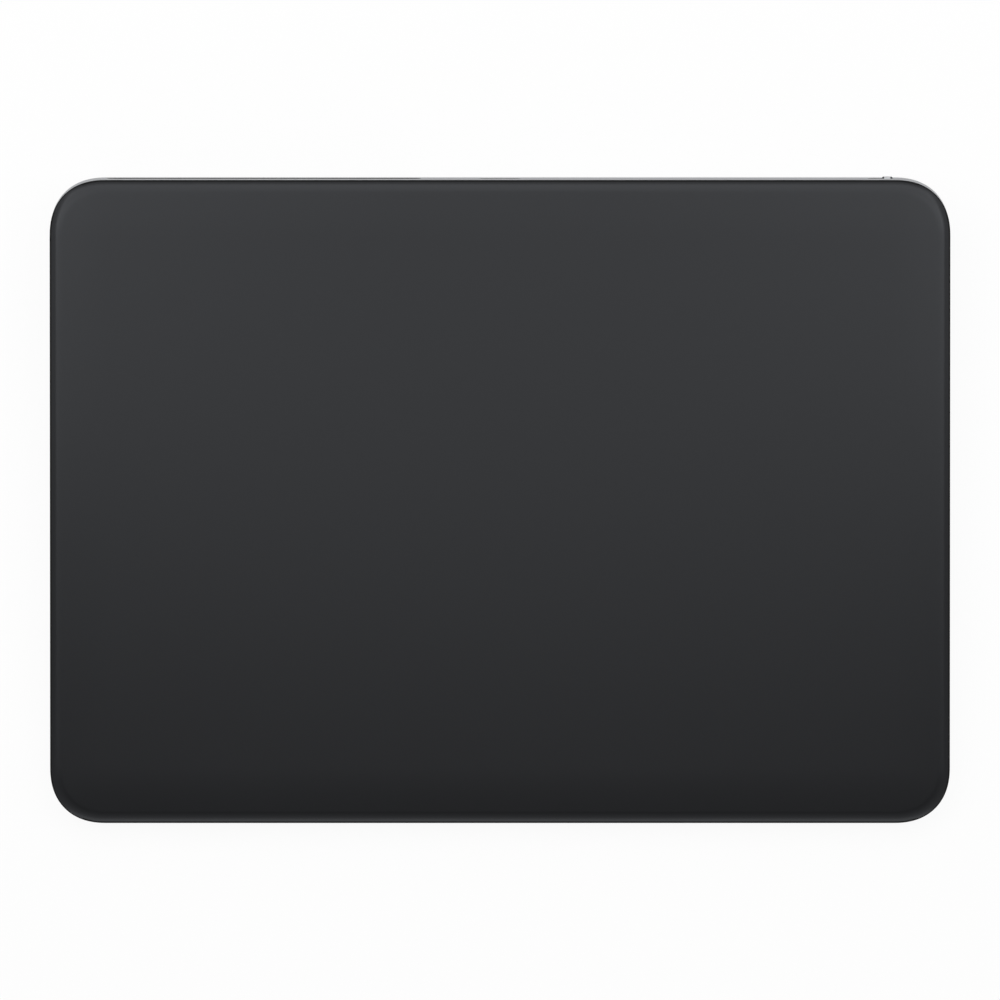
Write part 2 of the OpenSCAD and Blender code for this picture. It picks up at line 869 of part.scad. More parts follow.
module power_inductor() {
    color(chip_black)
        on_pad()
            on_board(inductor_x, board_mid_y, inductor_s, inductor_s, inductor_t);
}

module board_passives() {
    first = -(passive_n - 1) / 2;
    row_y = board_y[0] + passive_inset;
    color(nickel)
        on_pad()
            for (x = [processor_x, charger_x, inductor_x, force_x], i = [0 : passive_n - 1])
                on_board(
                    x + (first + i) * passive_pitch, row_y,
                    passive_size[0], passive_size[1], passive_size[2]
                );
}

module socket(x, w) {
    color(charcoal)
        on_pad()
            pad_block([x - w / 2, x + w / 2], socket_y, [board_depth[0] - socket_t, board_depth[0]]);
}

module battery_socket() {
    socket(battery_socket_x, battery_cable_w);
}

module touch_socket() {
    socket(touch_socket_x, touch_cable_w);
}

module haptic_socket() {
    socket(haptic_socket_x, haptic_cable_w);
}

// Charge port

module port_shell() {
    color(steel)
        on_pad()
            difference() {
                rear_bar(0, port_y)
                    stadium(shell_w, shell_h);
                rear_bar(0, [port_y[0] - port_shell_t, port_y[1] + port_shell_t])
                    stadium(port_w, port_h);
            }
}

module port_insert() {
    ledge_w = min(contact_row_w + ledge_t, port_w - port_h);
    color(chip_black)
        on_pad() {
            rear_bar(0, [port_y[0], port_y[0] + insert_l])
                stadium(port_w - 2 * fit_gap, port_h - 2 * fit_gap);
            pad_block([-ledge_w / 2, ledge_w / 2], ledge_y, ledge_depth);
        }
}

module port_contacts() {
    first = -(contact_n - 1) / 2;
    color(gold)
        on_pad()
            for (i = [0 : contact_n - 1])
                translate([(first + i) * contact_pitch, 0, 0])
                    pad_block(
                        [-contact_w / 2, contact_w / 2],
                        [port_y[0] + insert_l, ledge_y[1]],
                        [ledge_depth[0] - contact_t, ledge_depth[0]]
                    );
}

module port_strap() {
    side_x = shell_w / 2 + fit_gap;
    foot_end = strap_screw_x + boss_r;
    top = feature_depth - shell_h / 2 - fit_gap;
    deck = board_depth[0];
    strap_range = [strap_y - strap_w / 2, strap_y + strap_w / 2];
    color(nickel)
        on_pad()
            difference() {
                union() {
                    pad_block([-side_x - strap_t, side_x + strap_t], strap_range, [top - strap_t, top]);
                    for (side = [0, 1])
                        mirror([side, 0, 0]) {
                            pad_block([side_x, side_x + strap_t], strap_range, [top - strap_t, deck]);
                            pad_block([side_x, foot_end], strap_range, [deck - strap_t, deck]);
                        }
                }
                for (side = [-1, 1])
                    hole_down(side * strap_screw_x, strap_y, shank_r + shank_gap, 0, rear_h);
            }
}

module strap_screws() {
    color(steel)
        on_pad()
            for (side = [-1, 1])
                translate([side * strap_screw_x, strap_y, strap_t - board_depth[0]])
                    screw(strap_t + board_t + thread_l - shank_gap);
}

// Power switch

module switch_housing() {
    groove_x = [knob_x - knob_travel - peg_s / 2 - carriage_gap, knob_x + peg_s / 2 + carriage_gap];
    groove_y = [carriage_in_y - peg_l - carriage_gap, wall_out_y];
    groove_half = peg_s / 2 + carriage_gap;
    color(charcoal)
        on_pad()
            difference() {
                pad_block(
                    housing_x, [housing_rear_y - housing_d, housing_rear_y],
                    [feature_depth - housing_h / 2, feature_depth + housing_h / 2]
                );
                pad_block(groove_x, groove_y, [feature_depth - groove_half, feature_depth + groove_half]);
            }
}

module power_knob() {
    color(aluminium)
        on_pad() {
            rear_bar(knob_x, [carriage_out_y - carriage_t / 2, wall_out_y + knob_proud])
                stadium(knob_w, knob_h);
            rear_bar(knob_x, [carriage_in_y, carriage_out_y])
                square([2 * carriage_half, carriage_h], center = true);
            rear_bar(knob_x, [carriage_in_y - peg_l, carriage_in_y + carriage_t / 2])
                square([peg_s, peg_s], center = true);
        }
}

module on_mark() {
    mark_x = [knob_x + knob_w / 2, knob_x + carriage_half];
    color(mark_green)
        on_pad()
            pad_block(
                mark_x, [carriage_out_y, carriage_out_y + mark_t],
                [feature_depth - carriage_h / 2, feature_depth + carriage_h / 2]
            );
}

// Battery

module cell(side) {
    w = cell_x[1] - cell_x[0];
    l = cell_y[1] - cell_y[0];
    color(cell_grey)
        translate([side * (cell_x[0] + w / 2), cell_y[0] + l / 2, cell_z[0]])
            linear_extrude(cell_t)
                rounded_rect(w, l, cell_r);
}

module battery_left() {
    cell(-1);
}

module battery_right() {
    cell(1);
}

module battery_pads() {
    color(adhesive_grey)
        translate([0, 0, floor_z]) {
            for (side = [0, 1], x = [cell_x[0] + cell_pad_inset, cell_x[1] - cell_pad_inset - cell_pad_w])
                mirror([side, 0, 0])
                    translate([x, cell_y[0] + cell_pad_inset, 0])
                        cube([cell_pad_w, cell_y[1] - cell_y[0] - 2 * cell_pad_inset, cell_pad_t]);
            translate([-battery_board_half, battery_board_y[0], 0])
                cube([2 * battery_board_half, battery_board_d, cell_pad_t]);
        }
}

module battery_board() {
    color(board_green)
        translate([-battery_board_half, battery_board_y[0], battery_board_z[0]])
            cube([2 * battery_board_half, battery_board_d, battery_board_t]);
}

module cell_tabs() {
    reach = battery_board_gap + battery_board_d / 2;
    color(nickel)
        for (side = [-1, 1], x = tab_x)
            translate([side * x - tab_w / 2, cell_y[1], battery_board_z[1]])
                cube([tab_w, reach, tab_t]);
}

module battery_cable() {
    x = [battery_socket_x - battery_cable_w / 2, battery_socket_x + battery_cable_w / 2];
    riser_mid_y = board_y[0] - battery_board_gap / 2;
    riser_y = [riser_mid_y - cable_t / 2, riser_mid_y + cable_t / 2];
    riser_foot = level_depth(battery_board_z[1], board_y[0]);
    start_y = battery_board_y[1] - battery_cable_lap;
    end_y = desk_y(riser_y[1], riser_foot);
    color(cable_amber) {
        translate([x[0], start_y, battery_board_z[1]])
            cube([x[1] - x[0], end_y - start_y, cable_t]);
        on_pad() {
            pad_block(x, riser_y, [board_depth[0] - cable_t, riser_foot - cable_t / 2]);
            pad_block(x, [riser_y[0], socket_y[0]], [board_depth[0] - cable_t, board_depth[0]]);
        }
    }
}

// Haptic drive

module haptic_bracket() {
    rest_x = [core_back_x, core_back_x + core_limb];
    tip_x = [core_tip_x - core_rest_l, core_tip_x];
    half = core_l / 2;
    rest_depth = [core_depth[1], bracket_depth[1] - bracket_t / 2];
    color(steel)
        on_pad()
            translate([0, haptic_y, 0])
                difference() {
                    union() {
                        pad_plate(bracket_depth)
                            rounded_rect(bracket_w, bracket_l, boss_r);
                        pad_block(rest_x, [-half, half], rest_depth);
                        for (y = [-half, half - core_limb])
                            pad_block(tip_x, [y, y + core_limb], rest_depth);
                    }
                    for (x = [-1, 1], y = [-1, 1])
                        hole_down(x * bracket_screw_x, y * bracket_screw_y, shank_r + shank_gap, 0, rear_h);
                }
}

module haptic_core() {
    half = core_l / 2;
    limb_x = [core_back_x + core_limb / 2, core_tip_x];
    color(steel)
        on_pad()
            translate([0, haptic_y, 0]) {
                pad_block([core_back_x, core_back_x + core_limb], [-half, half], core_depth);
                for (y = [-half, half - core_limb])
                    pad_block(limb_x, [y, y + core_limb], core_depth);
                pad_block(limb_x, [-core_mid / 2, core_mid / 2], core_depth);
            }
}

module haptic_coil() {
    mid_x = core_back_x + core_limb + core_reach / 2;
    outer_w = core_mid + 2 * coil_wall;
    mid_depth = (coil_depth[0] + coil_depth[1]) / 2;
    color(copper)
        on_pad()
            translate([mid_x - coil_l / 2, haptic_y, -mid_depth])
                rotate([90, 0, 90])
                    linear_extrude(coil_l)
                        difference() {
                            rounded_rect(outer_w, coil_h, coil_rise);
                            square([core_mid + 2 * fit_gap, core_h + 2 * fit_gap], center = true);
                        }
}

module haptic_screws() {
    color(steel)
        on_pad()
            for (x = [-1, 1], y = [-1, 1])
                translate([x * bracket_screw_x, haptic_y + y * bracket_screw_y, -bracket_depth[0]])
                    screw(bracket_t + bracket_thread_l - shank_gap);
}

module haptic_cable() {
    lead_mid_x = core_back_x + core_limb + core_reach / 2;
    lead_x = [lead_mid_x - lead_w / 2, lead_mid_x + lead_w / 2];
    out_x = [haptic_socket_x - haptic_cable_w / 2, haptic_socket_x + haptic_cable_w / 2];
    coil_end_y = haptic_y + core_mid / 2 + coil_wall;
    core_end_y = haptic_y + core_l / 2 + lead_gap;
    turn_y = [core_end_y, core_end_y + lead_w];
    deck = -bracket_depth[0];
    deck_depth = [bracket_depth[0] - cable_t, bracket_depth[0]];
    top = -board_depth[0];
    color(cable_amber)
        on_pad() {
            pad_block(lead_x, [coil_end_y, turn_y[1]], deck_depth);
            pad_block([lead_x[0], out_x[1]], turn_y, deck_depth);
            side_strip(out_x)
                polygon([
                    [turn_y[0], deck],
                    [haptic_y + bracket_l / 2, deck],
                    [board_y[0], top],
                    [socket_y[0], top],
                    [socket_y[0], top + cable_t],
                    [board_y[0], top + cable_t],
                    [haptic_y + bracket_l / 2, deck + cable_t],
                    [turn_y[0], deck + cable_t]
                ]);
        }
}

// Plate springs

// Leaf with its screw at the origin and its button at +Y
module leaf() {
    difference() {
        union() {
            circle(leaf_w / 2);
            translate([-leaf_neck_w / 2, 0])
                square([leaf_neck_w, leaf_l]);
            translate([0, leaf_l])
                circle(button_r + leaf_tip_edge);
        }
        circle(shank_r + shank_gap);
        translate([0, peg_offset])
            circle(peg_r + fit_gap);
        translate([0, leaf_l])
            circle(stem_r + fit_gap);
    }
}

module flexure(place) {
    color(nickel)
        on_pad()
            pad_plate([leaf_depth, post_depth])
                translate([place[0], place[1]])
                    rotate(place[2] > 0 ? 0 : 180)
                        leaf();
}

module flexure_front_left() {
    flexure(leaf_places[0]);
}

module flexure_front_right() {
    flexure(leaf_places[1]);
}

module flexure_rear_left() {
    flexure(leaf_places[2]);
}

module flexure_rear_right() {
    flexure(leaf_places[3]);
}

module flexure_nuts() {
    color(steel)
        on_pad()
            for (p = leaf_places)
                translate([p[0], p[1], -leaf_depth])
                    difference() {
                        cylinder(r = nut_r, h = nut_t);
                        translate([0, 0, -nut_t])
                            cylinder(r = shank_r + fit_gap, h = 3 * nut_t);
                    }
}

module flexure_screws() {
    color(steel)
        on_pad()
            for (p = leaf_places)
                translate([p[0], p[1], -post_depth - screw_grip])
                    mirror([0, 0, 1])
                        screw(screw_grip + leaf_t + nut_t - fit_gap);
}

module strain_gauges() {
    color(cable_amber)
        on_pad()
            for (p = leaf_places)
                pad_block(
                    [p[0] - gauge_s / 2, p[0] + gauge_s / 2],
                    [p[1] + p[2] * gauge_offset - gauge_s / 2, p[1] + p[2] * gauge_offset + gauge_s / 2],
                    [gauge_depth, leaf_depth]
                );
}

// Flat cable on the inside of a side wall, with a tab on each gauge and one on the main board
module gauge_cable(side, board_end) {
    wall_x = pad_w / 2 - wall_t;
    strip_depth = [gauge_depth - cable_t, gauge_depth - cable_t + gauge_cable_w];
    half_tab = gauge_tab_w / 2;
    rear_y = [gauge_tail_y - half_tab, gauge_tail_y + half_tab];
    tail_depth = [board_depth[0] - cable_t, board_depth[0]];
    color(cable_amber)
        on_pad()
            mirror([side < 0 ? 1 : 0, 0, 0]) {
                pad_block([wall_x - cable_t, wall_x], gauge_cable_y, strip_depth);
                for (p = [leaf_places[1], leaf_places[3]])
                    pad_block(
                        [leaf_x, wall_x],
                        [p[1] + p[2] * gauge_offset - half_tab, p[1] + p[2] * gauge_offset + half_tab],
                        [gauge_depth - cable_t, gauge_depth]
                    );
                pad_block([wall_x - cable_t, wall_x], rear_y, [strip_depth[0], board_depth[0]]);
                pad_block([board_end - gauge_tail_l, wall_x], rear_y, tail_depth);
            }
}

module gauge_cable_left() {
    gauge_cable(-1, -board_x[0]);
}

module gauge_cable_right() {
    gauge_cable(1, board_x[1]);
}

module isolator_buttons() {
    color(steel)
        on_pad()
            for (p = leaf_places)
                translate([p[0], p[1] + p[2] * leaf_l, -leaf_depth]) {
                    cylinder(r = button_r, h = button_t);
                    translate([0, 0, -leaf_t - rivet_t])
                        cylinder(r = stem_r, h = leaf_t + rivet_t + button_t / 2);
                    translate([0, 0, -leaf_t - rivet_t])
                        cylinder(r = (stem_r + button_r) / 2, h = rivet_t);
                }
}

module gel_pads() {
    color(gel_blue)
        on_pad()
            for (p = leaf_places)
                translate([p[0], p[1] + p[2] * leaf_l, -button_depth])
                    cylinder(r = gel_r, h = gel_t);
}

// Touch module

module cover_glass() {
    color(glass_black)
        on_pad()
            rolled_slab(pad_w, pad_l, corner_r, glass_t, edge_r);
}

module glass_bond() {
    color(adhesive_grey)
        on_pad()
            pad_plate([glass_t, sensor_depth])
                rounded_rect(stack_w, stack_l, stack_r);
}

module touch_sensor_board() {
    color(board_green)
        on_pad()
            pad_plate([sensor_depth, stiffener_depth])
                rounded_rect(stack_w, stack_l, stack_r);
}

module touch_chip() {
    x = window_x - window_w / 2 + window_edge + touch_chip_s / 2;
    color(chip_black)
        on_pad()
            pad_block(
                [x - touch_chip_s / 2, x + touch_chip_s / 2],
                [window_y - touch_chip_s / 2, window_y + touch_chip_s / 2],
                [stiffener_depth, stiffener_depth + touch_chip_t]
            );
}

module stiffener_plate() {
    color(steel)
        on_pad()
            pad_plate([stiffener_depth, stack_depth])
                difference() {
                    rounded_rect(stack_w, stack_l, stack_r);
                    translate([window_x, window_y])
                        rounded_rect(window_w, window_l, window_r);
                    for (p = leaf_places)
                        translate([p[0], p[1]])
                            circle(nut_r + nut_clear);
                }
}

module attraction_plate() {
    half = core_l / 2;
    color(steel)
        on_pad()
            translate([0, haptic_y, 0]) {
                pad_block(
                    [attraction_x, attraction_x + attraction_flange], [-half, half],
                    [stack_depth, stack_depth + attraction_t / 2]
                );
                pad_block(
                    [attraction_x, attraction_x + attraction_t], [-half, half],
                    [stack_depth, core_depth[1]]
                );
            }
}

module touch_cable() {
    x = [touch_socket_x - touch_cable_w / 2, touch_socket_x + touch_cable_w / 2];
    start_y = window_y - touch_cable_lap;
    bend_y = window_y + window_l / 2 - touch_cable_dip;
    under = -stiffener_depth;
    top = -board_depth[0];
    color(cable_amber)
        on_pad()
            side_strip(x)
                polygon([
                    [start_y, under - cable_t],
                    [bend_y, under - cable_t],
                    [board_y[0], top],
                    [socket_y[0], top],
                    [socket_y[0], top + cable_t],
                    [board_y[0] + cable_t, top + cable_t],
                    [bend_y + cable_t, under],
                    [start_y, under]
                ]);
}

enclosure();
bottom_skin();
skin_bond();
foot_front_left();
foot_front_right();
foot_rear_left();
foot_rear_right();
antenna_window();
antenna_strip();
main_board();
board_screws();
processor_chip();
radio_chip();
radio_shield();
charger_chip();
force_chip();
power_inductor();
board_passives();
battery_socket();
touch_socket();
haptic_socket();
port_shell();
port_insert();
port_contacts();
port_strap();
strap_screws();
switch_housing();
battery_left();
battery_right();
battery_pads();
battery_board();
cell_tabs();
battery_cable();
haptic_bracket();
haptic_core();
haptic_coil();
haptic_screws();
haptic_cable();
flexure_front_left();
flexure_front_right();
flexure_rear_left();
flexure_rear_right();
flexure_nuts();
flexure_screws();
strain_gauges();
gauge_cable_left();
gauge_cable_right();
touch_cable();
isolator_buttons();
gel_pads();
cover_glass();
glass_bond();
touch_sensor_board();
touch_chip();
stiffener_plate();
attraction_plate();
power_knob();
on_mark();
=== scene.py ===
"""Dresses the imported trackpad: glass plate, aluminium tub, underside, rear fittings, springs and insides."""

import json
import math

import bmesh
import bpy
from bpy.props import FloatProperty, FloatVectorProperty, PointerProperty
from mathutils import Matrix, Vector
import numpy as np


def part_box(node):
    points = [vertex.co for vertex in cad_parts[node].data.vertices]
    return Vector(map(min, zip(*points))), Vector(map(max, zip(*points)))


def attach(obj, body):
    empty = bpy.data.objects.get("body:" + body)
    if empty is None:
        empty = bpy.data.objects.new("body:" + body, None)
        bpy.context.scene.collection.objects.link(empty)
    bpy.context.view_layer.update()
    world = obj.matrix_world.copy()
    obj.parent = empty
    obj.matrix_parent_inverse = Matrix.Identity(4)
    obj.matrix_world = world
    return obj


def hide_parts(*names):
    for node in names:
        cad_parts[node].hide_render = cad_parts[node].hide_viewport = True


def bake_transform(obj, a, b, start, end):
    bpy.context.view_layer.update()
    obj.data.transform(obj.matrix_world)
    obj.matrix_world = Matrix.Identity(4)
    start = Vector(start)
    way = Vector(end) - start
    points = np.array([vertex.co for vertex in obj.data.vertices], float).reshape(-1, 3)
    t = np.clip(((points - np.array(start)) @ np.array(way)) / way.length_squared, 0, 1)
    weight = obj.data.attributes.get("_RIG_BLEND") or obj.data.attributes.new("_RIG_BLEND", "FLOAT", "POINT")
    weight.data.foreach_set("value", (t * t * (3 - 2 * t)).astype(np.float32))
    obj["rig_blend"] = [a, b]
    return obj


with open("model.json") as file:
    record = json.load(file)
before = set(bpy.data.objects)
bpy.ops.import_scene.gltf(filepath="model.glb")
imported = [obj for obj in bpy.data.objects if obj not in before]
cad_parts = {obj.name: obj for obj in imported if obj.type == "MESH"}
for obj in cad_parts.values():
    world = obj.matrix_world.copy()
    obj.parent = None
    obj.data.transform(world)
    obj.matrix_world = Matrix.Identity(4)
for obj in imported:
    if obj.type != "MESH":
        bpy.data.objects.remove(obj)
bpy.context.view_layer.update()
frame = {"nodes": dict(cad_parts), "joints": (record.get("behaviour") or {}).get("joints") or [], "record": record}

bl_info = {
    "name": "Glass trackpad",
    "version": (1, 0, 0),
    "blender": (4, 5, 0),
    "location": "View3D > Sidebar > Trackpad",
    "description": "Dresses a packed trackpad with its glass, metal, plastic and inner finishes",
    "category": "Object",
}

MM = 0.001

# Fineness of the meshes
CORNER_STEPS = 28  # corner of the pad
ROUND_STEPS = 48  # full circle
EDGE_STEPS = 6  # rounded edge
ROLL_STEPS = 18  # each part of the rolled edge of the glass
CABLE_STEPS = 24  # drop of the touch cable
LEAF_STEP = 1.0 * MM  # lengths that a leaf spring is cut into
SMOOTH_ANGLE = math.radians(32)  # an edge beyond it stays sharp
WELD = MM / 1000  # points closer than this become one

# How far a cut runs past what it goes through
CUT_OVER = 1.0 * MM
DEEP_CUT = 5.0 * MM  # from the screws of the springs down through the floor

# Shares of a size
FLAT_BAND = 2.5  # flat band inside a ring, of the wall
WINDOW_CHAMFER = 0.5  # chamfer of the antenna window, of the one at port and slot
GEL_BULGE = 0.05  # bulge of the gel, of its radius
CABLE_LEVEL = 0.3  # level start of the touch cable, of its length
LINE_RELIEF = 1 / 40  # relief of fine lines, of their width
FOOT_TOP = 0.6  # flat middle of the top of a foot, of its radius
FOOT_SOLE = 0.3  # flat middle of its sole
FOOT_RING = (0.74, 0.71, 0.65, 0.62)  # ring in its sole, from the outer edge over the floor to the inner

SIDES = ("front_left", "front_right", "rear_left", "rear_right")
SLOTS = {part["node"]: part["material_slot"] for part in frame["record"]["subparts"]}


# Frame of the glass: X across, Y up the slope, Z square to the glass, about the origin of the part

def joint(name):
    """Record of a joint."""
    return next(j for j in frame["joints"] if j["name"] == name)


PRESS_AXIS = Vector(joint("plate_press")["axis"])
SWITCH_TRAVEL = joint("power_slide")["range_m"][1]
TILT = math.atan2(PRESS_AXIS.y, -PRESS_AXIS.z)
TO_ROW = Matrix.Rotation(TILT, 4, "X")
TO_PAD = TO_ROW.inverted()


def box_of(points):
    """Lowest and highest corner of some points."""
    return [Vector(pick(p[axis] for p in points) for axis in range(3)) for pick in (min, max)]


def pad_box(node):
    """Lowest and highest corner of a node in the frame of the glass."""
    return box_of([TO_PAD @ v.co for v in frame["nodes"][node].data.vertices])


def middle(corners):
    """Middle of a box."""
    return (corners[0] + corners[1]) / 2


GLASS_LOW, GLASS_HIGH = pad_box("cover_glass")
PAD_MIDDLE = middle((GLASS_LOW, GLASS_HIGH))
WALL_OUT = GLASS_HIGH.y
FEATURE_Z = middle(pad_box("port_shell")).z


def welded(node):
    """Copy of the mesh of a node, with its faces joined at their points."""
    mesh = bmesh.new()
    mesh.from_mesh(frame["nodes"][node].data)
    bmesh.ops.remove_doubles(mesh, verts=mesh.verts, dist=WELD)
    return mesh


def solids_of(node):
    """Box in the frame of the glass of each separate solid of a node, from left to right."""
    mesh = welded(node)
    left = set(mesh.verts)
    boxes = []
    while left:
        solid = {left.pop()}
        edge_of_search = list(solid)
        while edge_of_search:
            vert = edge_of_search.pop()
            found = {edge.other_vert(vert) for edge in vert.link_edges} & left
            left -= found
            solid |= found
            edge_of_search += found
        boxes.append(box_of([TO_PAD @ v.co for v in solid]))
    mesh.free()
    return sorted(boxes, key=lambda corners: tuple(corners[0]))


def slope_z(row_z, y):
    """Height in the frame of the glass of a level plane, at a place along the slope."""
    return (row_z - y * math.sin(TILT)) / math.cos(TILT)


# Outlines and rings of points

def rounded_outline(half_x, half_y, radius, squareness=2.0, support=2.5 * MM):
    """Rounded rectangle, anticlockwise, with superellipse corners and a support point by each corner."""
    corners = []
    for quarter in range(4):
        turn = Matrix.Rotation(quarter * math.pi / 2, 2)
        centre = Vector((
            (half_x - radius) * (1 if quarter in (0, 3) else -1),
            (half_y - radius) * (1 if quarter in (0, 1) else -1),
        ))
        for step in range(CORNER_STEPS + 1):
            angle = math.pi / 2 * step / CORNER_STEPS
            x = radius * abs(math.cos(angle)) ** (2 / squareness)
            y = radius * abs(math.sin(angle)) ** (2 / squareness)
            corners.append(centre + turn @ Vector((x, y)))
    points = []
    for index, point in enumerate(corners):
        after = corners[(index + 1) % len(corners)]
        points.append(point)
        if index % (CORNER_STEPS + 1) == CORNER_STEPS:
            along = (after - point).normalized() * support
            points += [point + along, after - along]
    return points


def pad_ring(sizes, inset, z):
    """Ring round the pad, set in from its outline, at one height in the frame of the glass."""
    outline = rounded_outline(
        (GLASS_HIGH.x - GLASS_LOW.x) / 2 - inset, (GLASS_HIGH.y - GLASS_LOW.y) / 2 - inset,
        sizes.corner_radius - inset, sizes.corner_squareness,
    )
    return [Vector((PAD_MIDDLE.x + p.x, PAD_MIDDLE.y + p.y, z)) for p in outline]


def level_ring(sizes, inset, row_z):
    """Ring round the pad on a level plane."""
    return [Vector((p.x, p.y, slope_z(row_z, p.y))) for p in pad_ring(sizes, inset, 0)]


def stadium_ring(x, y, width, height, grow=0.0):
    """Slot shape with round ends on the rear wall, grown by a margin, at a place along the slope."""
    radius = height / 2 + grow
    half = (width - height) / 2
    points = []
    for side in (1, -1):
        for step in range(ROUND_STEPS // 2 + 1):
            angle = math.pi * step / (ROUND_STEPS // 2) - math.pi / 2
            across = side * (half + radius * math.cos(angle))
            points.append(Vector((x + across, y, FEATURE_Z + side * radius * math.sin(angle))))
    return points


def circle(radius):
    """Points of a circle."""
    angles = [2 * math.pi * i / ROUND_STEPS for i in range(ROUND_STEPS)]
    return [Vector((radius * math.cos(a), radius * math.sin(a), 0)) for a in angles]


def pad_circle(x, y, z, radius):
    """Ring that lies along the glass."""
    return [Vector((x, y, z)) + p for p in circle(radius)]


def level_circle(x, y, z, radius):
    """Ring on a level plane, with its centre in the frame of the part."""
    return [TO_PAD @ (Vector((x, y, z)) + p) for p in circle(radius)]


def arc(across, along, radius, first, last):
    """Points of a rounded edge round its centre, between two angles in degrees."""
    angles = [math.radians(first + (last - first) * i / EDGE_STEPS) for i in range(EDGE_STEPS + 1)]
    return [(across + radius * math.cos(a), along + radius * math.sin(a)) for a in angles]


# Meshes and pieces

def loft(mesh, rings, closed=False):
    """Adds quads through rings of points; an open loft gets a face over each end."""
    rows = [[mesh.verts.new(p) for p in ring] for ring in rings]
    pairs = list(zip(rows, rows[1:]))
    if closed:
        pairs.append((rows[-1], rows[0]))
    else:
        mesh.faces.new(rows[0][::-1])
        mesh.faces.new(rows[-1])
    for low, high in pairs:
        for i in range(len(low)):
            after = (i + 1) % len(low)
            mesh.faces.new((low[i], low[after], high[after], high[i]))


def lofted(rings, closed=False):
    """New mesh with one loft."""
    mesh = bmesh.new()
    loft(mesh, rings, closed)
    return mesh


def block(mesh, low, high, edge):
    """Adds a box with broken edges."""
    made = bmesh.ops.create_cube(mesh, size=1)["verts"]
    for vert in made:
        vert.co = Vector(a + (b - a) * (c + 0.5) for a, b, c in zip(low, high, vert.co))
    edges = {e for v in made for e in v.link_edges}
    bmesh.ops.bevel(mesh, geom=list(edges), offset=edge, segments=2, profile=0.5, affect="EDGES")


def score(mesh, place, normal):
    """Cuts the faces of a mesh along a plane and keeps both sides."""
    everything = mesh.verts[:] + mesh.edges[:] + mesh.faces[:]
    bmesh.ops.bisect_plane(mesh, geom=everything, plane_co=place, plane_no=normal)


def to_object(mesh, name):
    """Turns a mesh in the frame of the glass into an object in the frame of the part, faces outwards."""
    bmesh.ops.recalc_face_normals(mesh, faces=mesh.faces)
    # Faces that agree can still all be turned inwards, as on the glass
    if mesh.calc_volume(signed=True) < 0:
        bmesh.ops.reverse_faces(mesh, faces=mesh.faces)
    mesh.transform(TO_ROW)
    data = bpy.data.meshes.new(name)
    mesh.to_mesh(data)
    mesh.free()
    piece = bpy.data.objects.new(name, data)
    bpy.context.scene.collection.objects.link(piece)
    return piece


def carve(piece, operation, tool):
    """Joins a tool to a piece or cuts it out of the piece, and removes the tool."""
    modifier = piece.modifiers.new(operation, "BOOLEAN")
    modifier.operation = operation
    modifier.solver = "EXACT"
    modifier.object = tool
    depsgraph = bpy.context.evaluated_depsgraph_get()
    carved = bpy.data.meshes.new_from_object(piece.evaluated_get(depsgraph))
    piece.modifiers.remove(modifier)
    before = piece.data
    piece.data = carved
    carved.name = piece.name
    bpy.data.meshes.remove(before)
    bpy.data.objects.remove(tool)


def finish_of(node):
    """Material that a node was given."""
    return frame["nodes"][node].material_slots[0].material


def finish_piece(piece, nodes, body=None, like=None):
    """Shades a piece, hides the nodes that it stands for and hangs it on the body that it rides on.

    It takes the finish of the first of these nodes, or of the node that it is like.
    """
    like = like or nodes[0]
    piece.data.materials.clear()
    piece.data.materials.append(finish_of(like))
    piece.data.shade_smooth()
    piece.data.set_sharp_from_angle(angle=SMOOTH_ANGLE)
    weights = piece.modifiers.new("flat_faces_first", "WEIGHTED_NORMAL")
    weights.keep_sharp = True
    if nodes:
        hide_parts(*nodes)
    if body:
        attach(piece, body)


# Colours and materials

def linear(code):
    """Linear colour of an sRGB hex value."""
    parts = [int(code[i:i + 2], 16) / 255 for i in (1, 3, 5)]
    return tuple(p / 12.92 if p <= 0.04045 else ((p + 0.055) / 1.055) ** 2.4 for p in parts) + (1.0,)


def add(tree, kind, inputs=None, **settings):
    """Adds a node with its settings; an input is a value, or an earlier node and the name of its output."""
    made = tree.nodes.new(kind)
    for name, value in settings.items():
        setattr(made, name, value)
    for name, value in (inputs or {}).items():
        if isinstance(value, tuple) and isinstance(value[0], bpy.types.Node):
            tree.links.new(value[0].outputs[value[1]], made.inputs[name])
        else:
            made.inputs[name].default_value = value
    return made


def per_mm(size):
    """Scale of a texture whose pattern repeats at a size in millimetres, on coordinates in metres."""
    return 1 / (size * MM)


def new_material(name):
    """Empty material with its node tree and the coordinates of the part."""
    material = bpy.data.materials.new(name)
    material.use_nodes = True
    tree = material.node_tree
    tree.nodes.clear()
    return material, tree, add(tree, "ShaderNodeTexCoord")


def tones(colour, spread):
    """A darker and a lighter tone of a colour."""
    return [tuple(c * factor for c in colour[:3]) + (1.0,) for factor in (1 - spread, 1 + spread)]


METAL = {"Metallic": 1.0}

# Size in millimetres of the clouds in which gloss drifts
CLOUD = 18.0


